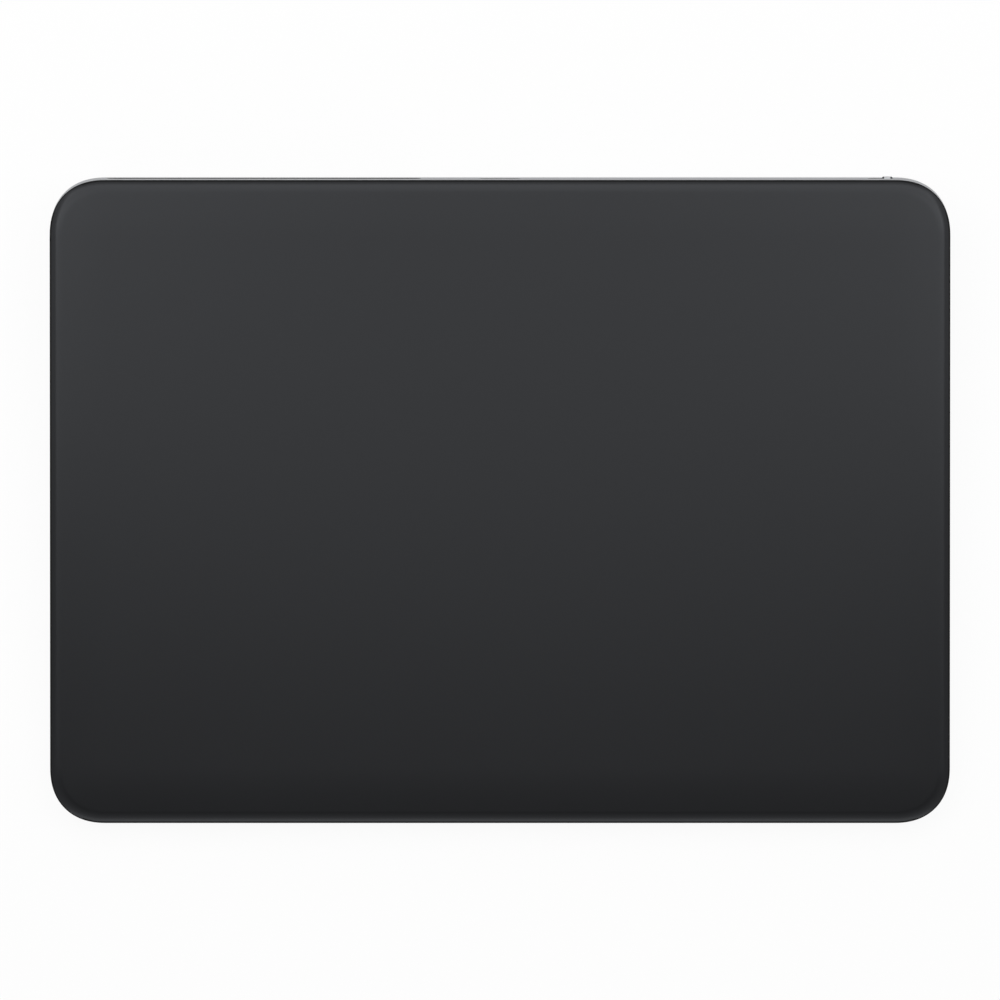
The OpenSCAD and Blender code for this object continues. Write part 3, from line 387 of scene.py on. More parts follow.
def dress(tree, coords, pattern, pair, roughness, depth, sockets):
    """Ends a material: colour and relief follow a pattern, and gloss drifts in wide soft clouds.

    pattern is a node and its output, pair the two colours it mixes and roughness a low and a high value.
    depth is the height of the relief in millimetres and sockets holds what is the same all over.
    """
    drift = add(tree, "ShaderNodeTexNoise", {
        "Vector": (coords, "Object"), "Scale": per_mm(CLOUD), "Detail": 2.0,
    })
    tint = add(tree, "ShaderNodeMix", {"Factor": pattern, "A": pair[0], "B": pair[1]}, data_type="RGBA")
    gloss = add(tree, "ShaderNodeMapRange", {
        "Value": (drift, "Fac"), "To Min": roughness[0], "To Max": roughness[1],
    })
    bump = add(tree, "ShaderNodeBump", {"Height": pattern, "Strength": 0.5, "Distance": depth * MM})
    shader = add(tree, "ShaderNodeBsdfPrincipled", {
        "Base Color": (tint, "Result"), "Roughness": (gloss, "Result"), "Normal": (bump, "Normal"),
        **sockets,
    })
    add(tree, "ShaderNodeOutputMaterial", {"Surface": (shader, "BSDF")})


def grained(name, colour, roughness, grain, depth, spread, sockets):
    """Material with an even grain; grain is its size and depth its height, in millimetres."""
    material, tree, coords = new_material(name)
    speckle = add(tree, "ShaderNodeTexNoise", {
        "Vector": (coords, "Object"), "Scale": per_mm(grain), "Detail": 3.0, "Roughness": 0.55,
    })
    dress(tree, coords, (speckle, "Fac"), tones(colour, spread), roughness, depth, sockets)
    return material


def lined(name, colour, roughness, line, stretch, spread=0.08):
    """Metal with fine lines, line millimetres wide; stretch shrinks the axis that they run along."""
    material, tree, coords = new_material(name)
    drawn = add(tree, "ShaderNodeMapping", {"Vector": (coords, "Object"), "Scale": stretch})
    lines = add(tree, "ShaderNodeTexNoise", {
        "Vector": (drawn, "Vector"), "Scale": per_mm(line), "Detail": 4.0,
    })
    dress(tree, coords, (lines, "Fac"), tones(colour, spread), roughness, line * LINE_RELIEF, METAL)
    return material


def banded(name, pair, roughness, pitch, depth, sockets):
    """Material with even bands across X; pitch is their spacing in millimetres."""
    material, tree, coords = new_material(name)
    turns_in_unit = math.pi / 10
    bands = add(tree, "ShaderNodeTexWave", {
        "Vector": (coords, "Object"), "Scale": turns_in_unit * per_mm(pitch),
    }, bands_direction="X")
    dress(tree, coords, (bands, "Fac"), pair, roughness, depth, sockets)
    return material


def ground_glass(colours):
    """Edge of the cover glass, ground on a wheel and inked black: dull, with a fine even tooth."""
    return grained(
        "ground_inked_glass_edge", colours.glass_edge, roughness=(0.55, 0.65), grain=0.12, depth=0.002,
        spread=0.05, sockets={"IOR": 1.5, "Specular IOR Level": 0.15},
    )


def wound_wire(colours):
    """Copper wire, enamelled and wound: rounded turns side by side under a glossy varnish.

    The wire is about 0.1 mm thick and is drawn at 0.3 mm so that its turns show.
    """
    # The colour is darker between the turns and lighter on their crowns: painted shade and painted highlight
    return banded(
        "enamelled_copper_winding", tones(colours.copper, spread=0.35), roughness=(0.25, 0.35), pitch=0.3,
        depth=0.08, sockets=METAL,
    )


def solder_mask(name, colour):
    """Glass-fibre board under solder mask: traces lie beneath the glossy lacquer as paler raised lines."""
    material, tree, coords = new_material(name)
    pair = tones(colour, spread=0.3)
    traces = add(tree, "ShaderNodeTexBrick", {
        "Vector": (coords, "Object"), "Scale": per_mm(1), "Brick Width": 6.5, "Row Height": 0.9,
        "Mortar Size": 0.14, "Mortar Smooth": 0.2, "Color1": (0, 0, 0, 1), "Color2": (0.25, 0.25, 0.25, 1),
        "Mortar": (1, 1, 1, 1),
    })
    dress(tree, coords, (traces, "Color"), pair, roughness=(0.28, 0.36), depth=0.03, sockets={"IOR": 1.55})
    return material


def pouch_foil(colours):
    """Aluminium laminate pouch, cold-formed: grey satin foil with soft creases that catch the light."""
    material, tree, coords = new_material("cold_formed_pouch_foil")
    creases = add(tree, "ShaderNodeTexNoise", {
        "Vector": (coords, "Object"), "Scale": per_mm(9), "Detail": 5.0, "Distortion": 1.2,
    })
    dress(
        tree, coords, (creases, "Fac"), tones(colours.foil, spread=0.06), roughness=(0.3, 0.4), depth=0.15,
        sockets={"Metallic": 0.85},
    )
    return material


def finishes_of(colours):
    """Finish of each slot; the comments say what the material and its making give the eye."""
    return {
        # Aluminium, bead-blasted and clear anodised. The blasting leaves tiny even pits, so light spreads
        # into a satin silver with a fine sparkle. The pits are about 0.05 mm wide and are drawn at 0.16 mm
        # so that they show
        "anodised_aluminium": grained(
            "bead_blasted_anodised_aluminium", colours.aluminium, roughness=(0.36, 0.44), grain=0.16,
            depth=0.006, spread=0.06, sockets={**METAL, "Specular Tint": colours.aluminium_rim},
        ),
        # Cover glass, acid-etched on top and printed black underneath. The etch scatters what it reflects
        # into one wide soft sheen, a little cool from the coating that sheds finger grease, and the print
        # behind it reads black. The etch is finer than 0.02 mm and is drawn at 0.12 mm so that it shows
        "cover_glass": grained(
            "etched_cover_glass", colours.glass, roughness=(0.24, 0.26), grain=0.12, depth=0.0008,
            spread=0.03, sockets={"IOR": 1.5, "Specular Tint": colours.glass_sheen},
        ),
        # Polycarbonate, moulded against a spark-eroded tool: dull charcoal with a fine pebble grain
        "charcoal_plastic": grained(
            "moulded_polycarbonate", colours.plastic, roughness=(0.72, 0.82), grain=0.28, depth=0.02,
            spread=0.1, sockets={"IOR": 1.58},
        ),
        # Silicone rubber, moulded: soft black that takes dust and hardly shines
        "foot_rubber": grained(
            "moulded_silicone_rubber", colours.rubber, roughness=(0.7, 0.85), grain=0.4, depth=0.015,
            spread=0.15, sockets={"IOR": 1.41},
        ),
        # Sheet steel, cold-rolled and stamped: grey metal with fine rolling lines across the pad
        "sheet_steel": lined(
            "stamped_cold_rolled_steel", colours.steel, roughness=(0.3, 0.4), line=0.2, stretch=(0.04, 1, 1),
        ),
        # Stainless steel, deep-drawn: bright, with faint draw lines into the port
        "port_steel": lined(
            "drawn_stainless_steel", colours.stainless, roughness=(0.2, 0.28), line=0.12,
            stretch=(1, 0.04, 1),
        ),
        # Nickel, plated on sheet: a warm bright grey that is nearly a mirror, with a soft orange peel
        "nickel_plate": grained(
            "electroplated_nickel", colours.nickel, roughness=(0.16, 0.24), grain=0.5, depth=0.003,
            spread=0.04, sockets=METAL,
        ),
        # Gold, plated over nickel on the contacts: deep yellow with the fine wear lines of a plug
        "gold_plate": lined(
            "electroplated_gold", colours.gold, roughness=(0.18, 0.28), line=0.1, stretch=(1, 0.05, 1),
        ),
        # Copper, rolled into thin sheet: pink-brown metal with fine lines along the strip
        "copper": lined(
            "rolled_copper_sheet", colours.copper, roughness=(0.24, 0.34), line=0.15, stretch=(0.04, 1, 1),
        ),
        "black_board": solder_mask("black_solder_mask", colours.black_mask),
        "green_board": solder_mask("green_solder_mask", colours.green_mask),
        # Filled epoxy, transfer-moulded round a chip: matte near black with tiny pale filler grains
        "chip_epoxy": grained(
            "moulded_epoxy", colours.epoxy, roughness=(0.5, 0.62), grain=0.15, depth=0.006, spread=0.25,
            sockets={"IOR": 1.55},
        ),
        # Polyimide film over etched copper: glossy amber with the conductors as even stripes
        "cable_film": banded(
            "laminated_polyimide_film", tones(colours.film, spread=0.18), roughness=(0.26, 0.34), pitch=0.5,
            depth=0.015, sockets={"IOR": 1.7},
        ),
        "cell_pouch": pouch_foil(colours),
        # Acrylic adhesive sheet, coated on a carrier: dull grey with a leathery surface
        "adhesive": grained(
            "coated_acrylic_adhesive", colours.adhesive, roughness=(0.55, 0.7), grain=0.6, depth=0.01,
            spread=0.08, sockets={"IOR": 1.48},
        ),
        # Silicone gel, cast: a smooth pale blue pad with a wet gloss
        "gel": grained(
            "cast_silicone_gel", colours.gel, roughness=(0.16, 0.24), grain=1.2, depth=0.01, spread=0.05,
            sockets={"IOR": 1.41},
        ),
        # Screen-printed ink: flat green with the faint weave of the screen
        "on_mark": grained(
            "screen_printed_ink", colours.mark, roughness=(0.45, 0.55), grain=0.12, depth=0.004, spread=0.07,
            sockets={"IOR": 1.5},
        ),
    }


# Settings

def length(name, value, text):
    """Property for a length, with its default in millimetres."""
    return FloatProperty(name=name, description=text, default=value * MM, min=0.0, unit="LENGTH", precision=5)


def angle(name, value, text):
    """Property for an angle, with its default in degrees."""
    return FloatProperty(name=name, description=text, default=math.radians(value), subtype="ANGLE")


def colour(name, code, text):
    """Property for a colour, with its default as an sRGB hex value."""
    return FloatVectorProperty(name=name, description=text, default=linear(code), size=4, subtype="COLOR")


class TrackpadSizes(bpy.types.PropertyGroup):
    """Sizes of the dressed pieces that the frame doesn't give."""

    corner_radius: length("Corner radius", 10.0, "Radius of the corners of glass and tub, seen from above")
    corner_squareness: FloatProperty(
        name="Corner squareness", description="Exponent of the corner curve, where 2 is a circle",
        default=2.3,
    )
    crown_width: length("Crown width", 10.0, "Width of the band round the glass that falls away gently")
    crown_slope: angle("Crown slope", 1.9, "Slope of the glass where the rolled edge begins")
    roll_width: length("Roll width", 2.2, "Width of the rolled edge of the glass")
    roll_slope: angle("Roll slope", 38, "Steepest slope of the rolled edge of the glass")
    ground_slope: angle("Ground slope", 35, "Slope beyond which the edge of the glass is ground and inked")
    glass_edge: length("Glass edge", 0.15, "Radius where the rolled edge of the glass turns down")
    wall: length("Wall", 1.6, "Thickness of the walls of the tub")
    lip: length("Lip", 0.8, "Wall left in front of the port and the switch")
    rim_edge: length("Rim edge", 0.2, "Radius of the broken edges round the rim of the tub")
    bottom_edge: length("Bottom edge", 0.5, "Radius of the lower outer edge of the tub")
    skin_rim: length("Skin rim", 1.5, "Width of the metal rim round the bottom skin")
    skin_gap: length("Skin gap", 0.1, "Gap between the rim and the bottom skin")
    skin_edge: length("Skin edge", 0.12, "Radius of the lower edge of the bottom skin")
    sole_edge: length("Sole edge", 0.28, "Radius of the lower edge of the rubber feet")
    sole_groove: length("Sole groove", 0.12, "Depth of the ring pressed into the rubber feet")
    boss_radius: length("Boss radius", 1.7, "Radius of the bosses under boards and bracket")
    screw_radius: length("Screw radius", 0.7, "Radius of the shanks of the screws")
    screw_head: length("Screw head", 0.4, "Height of the heads of the screws")
    screw_gap: length("Screw gap", 0.1, "Gap round the screws in their holes")
    peg_offset: length("Peg offset", 2.5, "Distance of a locating peg from the screw of its spring")
    peg_radius: length("Peg radius", 0.5, "Radius of the locating pegs")
    window_length: length("Window length", 55.9, "Length of the opening for the antenna window")
    window_height: length("Window height", 3.6, "Height of the opening for the antenna window")
    window_lap: length("Window lap", 0.4, "Width of the flange behind the antenna window")
    port_width: length("Port width", 7.7, "Width of the opening of the charge port")
    port_height: length("Port height", 2.6, "Height of the opening of the charge port")
    slot_length: length("Slot length", 4.6, "Length of the slot of the power switch")
    slot_height: length("Slot height", 1.8, "Height of the slot of the power switch")
    # The dark liners in the port and the slot are painted shade: sleeves that stand in for the shade inside these
    # openings
    slot_recess: length("Slot recess", 0.03, "Depth at which the liner of the slot starts behind the wall")
    port_recess: length("Port recess", 0.08, "Depth at which the liner of the port starts behind the wall")
    liner: length("Liner", 0.05, "Thickness of the dark liners in the openings for port and switch")
    mouth_edge: length("Mouth edge", 0.05, "Chamfer round the openings of the rear wall")
    knob_width: length("Knob width", 1.9, "Length of the knob of the power switch")
    knob_height: length("Knob height", 1.6, "Height of the knob of the power switch")
    knob_edge: length("Knob edge", 0.25, "Radius of the edge of the knob")
    # The dark shoulders of the knob are painted shade: dark plastic stands in for the shade and dark reflection at
    # its ends
    knob_cap: length("Knob cap", 1.1, "Length of the bright part of the knob between its dark shoulders")
    knob_dish: length("Knob dish", 0.05, "Depth of the hollow in the face of the knob")
    carriage_thickness: length("Carriage thickness", 0.5, "Thickness of the sliding plate behind the knob")
    carriage_gap: length("Carriage gap", 0.15, "Gap round the sliding plate")
    peg_side: length("Switch peg", 1.0, "Side of the square peg behind the sliding plate")
    fit_gap: length("Fit gap", 0.05, "Gap left round a piece that is set into another")


class TrackpadColours(bpy.types.PropertyGroup):
    """Colours of the finishes."""

    glass: colour("Glass", "#0C0C0D", "Black print seen through the cover glass")
    glass_sheen: colour("Glass sheen", "#F4F8FF", "Cast of the light that the coated glass mirrors")
    glass_edge: colour("Glass edge", "#0A0A0B", "Ink on the ground edge of the cover glass")
    aluminium: colour("Aluminium", "#C9CACC", "Clear anodised aluminium")
    aluminium_rim: colour("Aluminium rim", "#B2B3B5", "Cast of the aluminium where it is seen edge on")
    plastic: colour("Plastic", "#343538", "Charcoal polycarbonate")
    rubber: colour("Rubber", "#1E1E1F", "Silicone rubber of the feet")
    gel: colour("Gel", "#8FB2BF", "Silicone gel of the isolators")
    steel: colour("Steel", "#9DA0A4", "Stamped steel")
    stainless: colour("Stainless", "#B4B6B8", "Stainless steel of the port")
    nickel: colour("Nickel", "#C8C4BA", "Nickel plate")
    gold: colour("Gold", "#D8AE5C", "Gold plate of the contacts")
    copper: colour("Copper", "#C67B4E", "Copper of coil and antenna")
    black_mask: colour("Black mask", "#202225", "Solder mask of the main board")
    green_mask: colour("Green mask", "#1F4A2E", "Solder mask of the sensor board")
    epoxy: colour("Epoxy", "#242426", "Chip packages")
    film: colour("Film", "#A8692B", "Polyimide of the flat cables")
    foil: colour("Foil", "#8E9094", "Foil of the battery cells")
    adhesive: colour("Adhesive", "#6B6D70", "Adhesive sheets")
    mark: colour("Mark", "#36B54A", "Mark that shows when the switch is on")


class TRACKPAD_OT_cover_glass(bpy.types.Operator):
    """Makes the cover glass with its rolled edge"""

    bl_idname = "trackpad.cover_glass"
    bl_label = "Cover glass"

    def execute(self, context):
        sizes = context.scene.trackpad_sizes
        steepest = sizes.roll_slope
        turn = sizes.glass_edge
        under_edge = sizes.rim_edge / 2
        profile = [(sizes.crown_width, GLASS_HIGH.z)]
        profile += self.fall(profile[-1], sizes.roll_width, 0, sizes.crown_slope)
        profile += self.fall(profile[-1], turn * (1 - math.sin(steepest)), sizes.crown_slope, steepest)
        turn_z = profile[-1][1] - turn * math.cos(steepest)
        for i in range(1, EDGE_STEPS + 1):
            angle = steepest + (math.pi / 2 - steepest) * i / EDGE_STEPS
            profile.append((turn * (1 - math.sin(angle)), turn_z + turn * math.cos(angle)))
        profile += [(0, GLASS_LOW.z + under_edge), (under_edge, GLASS_LOW.z)]
        profile.append((sizes.crown_width, GLASS_LOW.z))
        mesh = lofted([pad_ring(sizes, inset, z) for inset, z in profile])
        # Where the inset is the corner radius, all points of a corner lie in one place
        bmesh.ops.remove_doubles(mesh, verts=mesh.verts, dist=WELD)
        piece = to_object(mesh, "glass_plate")
        finish_piece(piece, ["cover_glass"], "touch_module")
        piece.data.materials.append(ground_glass(context.scene.trackpad_colours))
        for face in piece.data.polygons:
            ground = (TO_PAD @ face.normal).z < math.cos(sizes.ground_slope)
            face.material_index = 1 if ground else 0
        return {"FINISHED"}

    def fall(self, start, end, slope, steepest):
        """Points from a place in the profile out to an inset, with a slope that grows evenly."""
        inset, z = start
        width = inset - end
        first, last = math.tan(slope), math.tan(steepest)
        points = []
        for i in range(1, ROLL_STEPS + 1):
            share = i / ROLL_STEPS
            drop = first * share + (last - first) * share**2 / 2
            points.append((inset - width * share, z - width * drop))
        return points


def leaf_ends(side):
    """Middles of the nut and of the button at the ends of a leaf spring."""
    low, high = pad_box("flexure_" + side)
    places = [middle(corners) for node in ("flexure_nuts", "isolator_buttons") for corners in solids_of(node)]
    return [p for p in places if low.x < p.x < high.x and low.y < p.y < high.y]


def slot_middle():
    """Place across the pad of the middle of the slot of the power switch."""
    return middle(pad_box("power_knob")).x - SWITCH_TRAVEL / 2


def shade_liner_mesh(sizes, x, width, height, recess):
    """Mesh of a thin dark sleeve in an opening of the rear wall, from a recess to the end of the lip; it paints
    the shade inside the opening.
    """
    back, front = WALL_OUT - sizes.lip, WALL_OUT - recess
    profile = [(-sizes.liner, back), (0, back), (0, front), (-sizes.liner, front)]
    return lofted([stadium_ring(x, y, width, height, grow) for grow, y in profile], closed=True)


class TRACKPAD_OT_tub(bpy.types.Operator):
    """Makes the aluminium tub with its bosses, screw holes and rear openings"""

    bl_idname = "trackpad.tub"
    bl_label = "Aluminium tub"

    def execute(self, context):
        sizes = context.scene.trackpad_sizes
        tub = to_object(self.shell(sizes), "aluminium_tub")
        carve(tub, "UNION", to_object(self.bosses(sizes), "bosses"))
        carve(tub, "UNION", to_object(self.pegs(sizes), "pegs"))
        carve(tub, "DIFFERENCE", to_object(self.screw_holes(sizes), "screw_holes"))
        carve(tub, "DIFFERENCE", to_object(self.rear_openings(sizes), "rear_openings"))
        carve(tub, "DIFFERENCE", to_object(self.inner_pockets(sizes), "inner_pockets"))
        finish_piece(tub, ["enclosure"], "base")
        return {"FINISHED"}

    def shell(self, sizes):
        """Wedge with its rim, its floor and the recess for the bottom skin."""
        rim = pad_box("enclosure")[1].z
        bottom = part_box("enclosure")[0].z
        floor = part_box("battery_pads")[0].z
        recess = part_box("skin_bond")[1].z
        wall, edge, low_edge = sizes.wall, sizes.rim_edge, sizes.bottom_edge
        flat = FLAT_BAND * wall
        rim_arcs = arc(wall - edge, rim - edge, edge, 0, 90) + arc(edge, rim - edge, edge, 90, 180)
        low_arc = arc(low_edge, bottom + low_edge, low_edge, 180, 270)
        under = [(sizes.skin_rim, bottom), (sizes.skin_rim, recess), (sizes.skin_rim + flat, recess)]
        return lofted(
            [level_ring(sizes, wall + flat, floor), level_ring(sizes, wall, floor)]
            + [pad_ring(sizes, inset, z) for inset, z in rim_arcs]
            + [level_ring(sizes, inset, z) for inset, z in low_arc + under]
        )

    def bosses(self, sizes):
        """Bosses from the floor up to springs, boards and bracket."""
        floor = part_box("battery_pads")[0].z
        root = (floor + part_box("skin_bond")[1].z) / 2
        leaf_low, leaf_high = pad_box("flexure_front_left")
        board_under = pad_box("main_board")[0].z
        plans = [
            ("flexure_nuts", (leaf_high.x - leaf_low.x) / 2, leaf_low.z),
            ("board_screws", sizes.boss_radius, board_under),
            ("strap_screws", sizes.boss_radius, board_under),
            ("haptic_screws", sizes.boss_radius, pad_box("haptic_bracket")[0].z),
        ]
        mesh = bmesh.new()
        for node, radius, top in plans:
            for corners in solids_of(node):
                x, y, _ = middle(corners)
                loft(mesh, [pad_circle(x, y, z, radius) for z in (slope_z(root, y), top)])
        return mesh

    def pegs(self, sizes):
        """Pegs that keep the leaf springs from turning on their screws."""
        mesh = bmesh.new()
        for side in SIDES:
            low, high = pad_box("flexure_" + side)
            nut, button = leaf_ends(side)
            y = nut.y + math.copysign(sizes.peg_offset, button.y - nut.y)
            loft(mesh, [pad_circle(nut.x, y, z, sizes.peg_radius) for z in (2 * low.z - high.z, high.z)])
        return mesh

    def screw_holes(self, sizes):
        """Holes for the screws from above, and stepped ones for the screws of the springs from below."""
        mesh = bmesh.new()
        bore = sizes.screw_radius + sizes.screw_gap
        for node in ("board_screws", "strap_screws", "haptic_screws"):
            for low, high in solids_of(node):
                x, y, _ = middle((low, high))
                loft(mesh, [pad_circle(x, y, z, bore) for z in (low.z - sizes.screw_gap, high.z + CUT_OVER)])
        for low, high in solids_of("flexure_screws"):
            x, y, _ = middle((low, high))
            head = (high.x - low.x) / 2 + sizes.screw_gap
            seat = low.z + sizes.screw_head
            steps = [(low.z - DEEP_CUT, head), (seat, head), (seat, bore), (high.z + CUT_OVER, bore)]
            loft(mesh, [pad_circle(x, y, z, radius) for z, radius in steps])
        return mesh

    def rear_openings(self, sizes):
        """Openings for antenna window, port and slot, each with a chamfer at its mouth."""
        mesh = bmesh.new()
        for x, width, height, chamfer in (
            (middle(pad_box("antenna_window")).x, sizes.window_length, sizes.window_height, WINDOW_CHAMFER),
            (0, sizes.port_width, sizes.port_height, 1),
            (slot_middle(), sizes.slot_length, sizes.slot_height, 1),
        ):
            edge = sizes.mouth_edge * chamfer
            steps = [(CUT_OVER, edge), (0, edge), (-edge, 0), (-sizes.wall - CUT_OVER, 0)]
            loft(mesh, [stadium_ring(x, WALL_OUT + step, width, height, grow) for step, grow in steps])
        return mesh

    def inner_pockets(self, sizes):
        """Pockets behind the lip for the shell of the port and the sliding plate of the switch."""
        back = WALL_OUT - sizes.wall - CUT_OVER
        front = WALL_OUT - sizes.lip
        shell_low, shell_high = pad_box("port_shell")
        knob_low, knob_high = pad_box("power_knob")
        gap = sizes.carriage_gap
        mesh = bmesh.new()
        loft(mesh, [
            stadium_ring(0, y, shell_high.x - shell_low.x, shell_high.z - shell_low.z, sizes.fit_gap)
            for y in (back, front)
        ])
        block(
            mesh, (knob_low.x - SWITCH_TRAVEL - gap, back, knob_low.z - gap),
            (knob_high.x + gap, front, knob_high.z + gap), sizes.fit_gap,
        )
        return mesh


class TRACKPAD_OT_underside(bpy.types.Operator):
    """Makes the bottom skin and the four rubber feet"""

    bl_idname = "trackpad.underside"
    bl_label = "Underside"

    def execute(self, context):
        sizes = context.scene.trackpad_sizes
        feet = [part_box("foot_" + side) for side in SIDES]
        skin = to_object(self.skin(sizes), "bottom_panel")
        carve(skin, "DIFFERENCE", to_object(self.seats(sizes, feet), "foot_seats"))
        finish_piece(skin, ["bottom_skin"], "base")
        for side, corners in zip(SIDES, feet):
            foot = to_object(self.foot(sizes, corners), "rubber_foot_" + side)
            finish_piece(foot, ["foot_" + side], "base")
        return {"FINISHED"}

    def skin(self, sizes):
        """Level plate with a rounded lower edge."""
        bottom, top = (corner.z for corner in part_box("bottom_skin"))
        inset = sizes.skin_rim + sizes.skin_gap
        edge = sizes.skin_edge
        flat = inset + FLAT_BAND * sizes.wall
        low_arc = arc(inset + edge, bottom + edge, edge, 180, 270)
        profile = [(flat, top), (inset, top)] + low_arc + [(flat, bottom)]
        return lofted([level_ring(sizes, across, z) for across, z in profile])

    def seats(self, sizes, feet):
        """Round seats for the feet."""
        mesh = bmesh.new()
        for low, high in feet:
            x, y, _ = middle((low, high))
            radius = (high.x - low.x) / 2 + sizes.fit_gap
            loft(mesh, [level_circle(x, y, z, radius) for z in (-CUT_OVER, high.z)])
        return mesh

    def foot(self, sizes, corners):
        """Round foot with a soft lower edge and a ring pressed into its sole."""
        x, y, _ = middle(corners)
        radius = (corners[1].x - corners[0].x) / 2
        low, high = corners[0].z, corners[1].z
        edge, groove = sizes.sole_edge, sizes.sole_groove
        ring = [share * radius for share in FOOT_RING]
        profile = [(FOOT_TOP * radius, high), (radius, high)]
        profile += [(radius - inset, z) for inset, z in arc(edge, low + edge, edge, 180, 270)]
        profile += zip(ring, (low, low + groove, low + groove, low))
        profile.append((FOOT_SOLE * radius, low))
        return lofted([level_circle(x, y, z, across) for across, z in profile])


class TRACKPAD_OT_rear_fittings(bpy.types.Operator):
    """Makes the antenna window and the shell of the charge port, and the dark liner that paints the shade in its
    opening
    """

    bl_idname = "trackpad.rear_fittings"
    bl_label = "Rear fittings"

    def execute(self, context):
        sizes = context.scene.trackpad_sizes
        # Dark liner in the port opening: painted shade
        sleeve = shade_liner_mesh(sizes, 0, sizes.port_width, sizes.port_height, sizes.port_recess)
        finish_piece(to_object(self.window(sizes), "antenna_cover"), ["antenna_window"], "base")
        finish_piece(to_object(sleeve, "port_shade_liner"), [], "base", like="antenna_window")
        finish_piece(to_object(self.port(sizes), "port_sleeve"), ["port_shell"], "base")
        return {"FINISHED"}

    def window(self, sizes):
        """Plug that fills its opening, with a flange behind the wall."""
        low, high = pad_box("antenna_window")
        x = middle((low, high)).x
        edge = sizes.mouth_edge / 2
        inner = WALL_OUT - sizes.wall
        profile = arc(-sizes.fit_gap - edge, WALL_OUT - edge, edge, 90, 0)
        profile += [(-sizes.fit_gap, inner), (sizes.window_lap, inner), (sizes.window_lap, low.y)]
        return lofted([
            stadium_ring(x, y, sizes.window_length, sizes.window_height, grow) for grow, y in profile
        ])

    def port(self, sizes):
        """Sleeve with a rounded mouth."""
        low, high = pad_box("port_shell")
        thickness = (high.x - low.x - sizes.port_width) / 2
        edge = thickness / 2
        profile = [(0, low.y), (thickness, low.y), (thickness, high.y - edge)]
        profile += arc(thickness - edge, high.y - edge, edge, 0, 180)[1:]
        return lofted([
            stadium_ring(0, y, sizes.port_width, sizes.port_height, grow) for grow, y in profile
        ], closed=True)


class TRACKPAD_OT_power_slider(bpy.types.Operator):
    """Makes the knob of the power switch with its sliding plate and peg, with dark shoulders painted as shade, and
    the dark liner that paints the shade in its slot
    """

    bl_idname = "trackpad.power_slider"
    bl_label = "Power slider"

    def execute(self, context):
        sizes = context.scene.trackpad_sizes
        low, high = pad_box("power_knob")
        x = middle((low, high)).x
        plate_out = pad_box("on_mark")[0].y
        plate_in = plate_out - sizes.carriage_thickness
        plate_middle = (plate_in + plate_out) / 2
        half = sizes.peg_side / 2
        edge = sizes.knob_edge
        dish_inset = sizes.knob_height / 4
        profile = [(0, plate_middle)] + arc(-edge, high.y - edge, edge, 0, 90)
        profile.append((-dish_inset, high.y - sizes.knob_dish))
        knob = lofted([
            stadium_ring(x, y, sizes.knob_width, sizes.knob_height, grow) for grow, y in profile
        ])
        for side in (-1, 1):
            score(knob, (x + side * sizes.knob_cap / 2, 0, 0), (1, 0, 0))
        plate = bmesh.new()
        block(plate, (low.x, plate_in, low.z), (high.x, plate_out, high.z), sizes.fit_gap)
        peg = bmesh.new()
        block(
            peg, (x - half, low.y, FEATURE_Z - half), (x + half, plate_middle, FEATURE_Z + half),
            sizes.fit_gap,
        )
        piece = to_object(knob, "power_switch")
        carve(piece, "UNION", to_object(plate, "sliding_plate"))
        carve(piece, "UNION", to_object(peg, "switch_peg"))
        finish_piece(piece, ["power_knob"], "power_slider")
        # All but the face of the cap takes the dark plastic of the antenna window, which paints shade on the
        # shoulders of the knob
        piece.data.materials.append(finish_of("antenna_window"))
        for face in piece.data.polygons:
            place = TO_PAD @ face.center
            on_cap = place.y > plate_out + sizes.fit_gap and abs(place.x - x) < sizes.knob_cap / 2
            face.material_index = 0 if on_cap else 1
        # Dark liner in the slot: painted shade
        sleeve = shade_liner_mesh(sizes, slot_middle(), sizes.slot_length, sizes.slot_height, sizes.slot_recess)
        finish_piece(to_object(sleeve, "slot_shade_liner"), [], "base", like="antenna_window")
        return {"FINISHED"}


class TRACKPAD_OT_plate_springs(bpy.types.Operator):
    """Makes the four leaf springs and the gel pads that carry the touch plate"""

    bl_idname = "trackpad.plate_springs"
    bl_label = "Plate springs"

    def execute(self, context):
        for side in SIDES:
            low, high = pad_box("flexure_" + side)
            x, _, z = middle((low, high))
            piece = self.leaf("flexure_" + side, low, high)
            finish_piece(piece, ["flexure_" + side])
            start, end = (TO_ROW @ Vector((x, p.y, z)) for p in leaf_ends(side))
            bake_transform(piece, "base", "spring_ends", start=start, end=end)
        self.gel()
        return {"FINISHED"}

    def leaf(self, node, low, high):
        """Copy of a leaf, cut into short lengths so that it bends."""
        mesh = welded(node)
        mesh.transform(TO_PAD)
        count = round((high.y - low.y) / LEAF_STEP)
        for i in range(1, count):
            score(mesh, (0, low.y + (high.y - low.y) * i / count, 0), (0, 1, 0))
        piece = to_object(mesh, node.replace("flexure", "spring_leaf"))
        # The normals that came with the node don't fit the cut faces
        for name in [a.name for a in piece.data.attributes if a.name == "custom_normal"]:
            piece.data.attributes.remove(piece.data.attributes[name])
        return piece

    def gel(self):
        """Barrels of gel between the buttons and the plate."""
        low, high = pad_box("gel_pads")
        mesh = bmesh.new()
        for corners in solids_of("gel_pads"):
            x, y, _ = middle(corners)
            radius = (corners[1].x - corners[0].x) / 2
            rings = []
            for i in range(EDGE_STEPS + 1):
                share = i / EDGE_STEPS
                waist = radius * (1 - GEL_BULGE + GEL_BULGE * math.sin(math.pi * share))
                rings.append(pad_circle(x, y, low.z + (high.z - low.z) * share, waist))
            loft(mesh, rings)
        piece = to_object(mesh, "isolator_gel")
        finish_piece(piece, ["gel_pads"])
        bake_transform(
            piece, "spring_ends", "touch_module",
            start=TO_ROW @ Vector((0, 0, low.z)), end=TO_ROW @ Vector((0, 0, high.z)),
        )


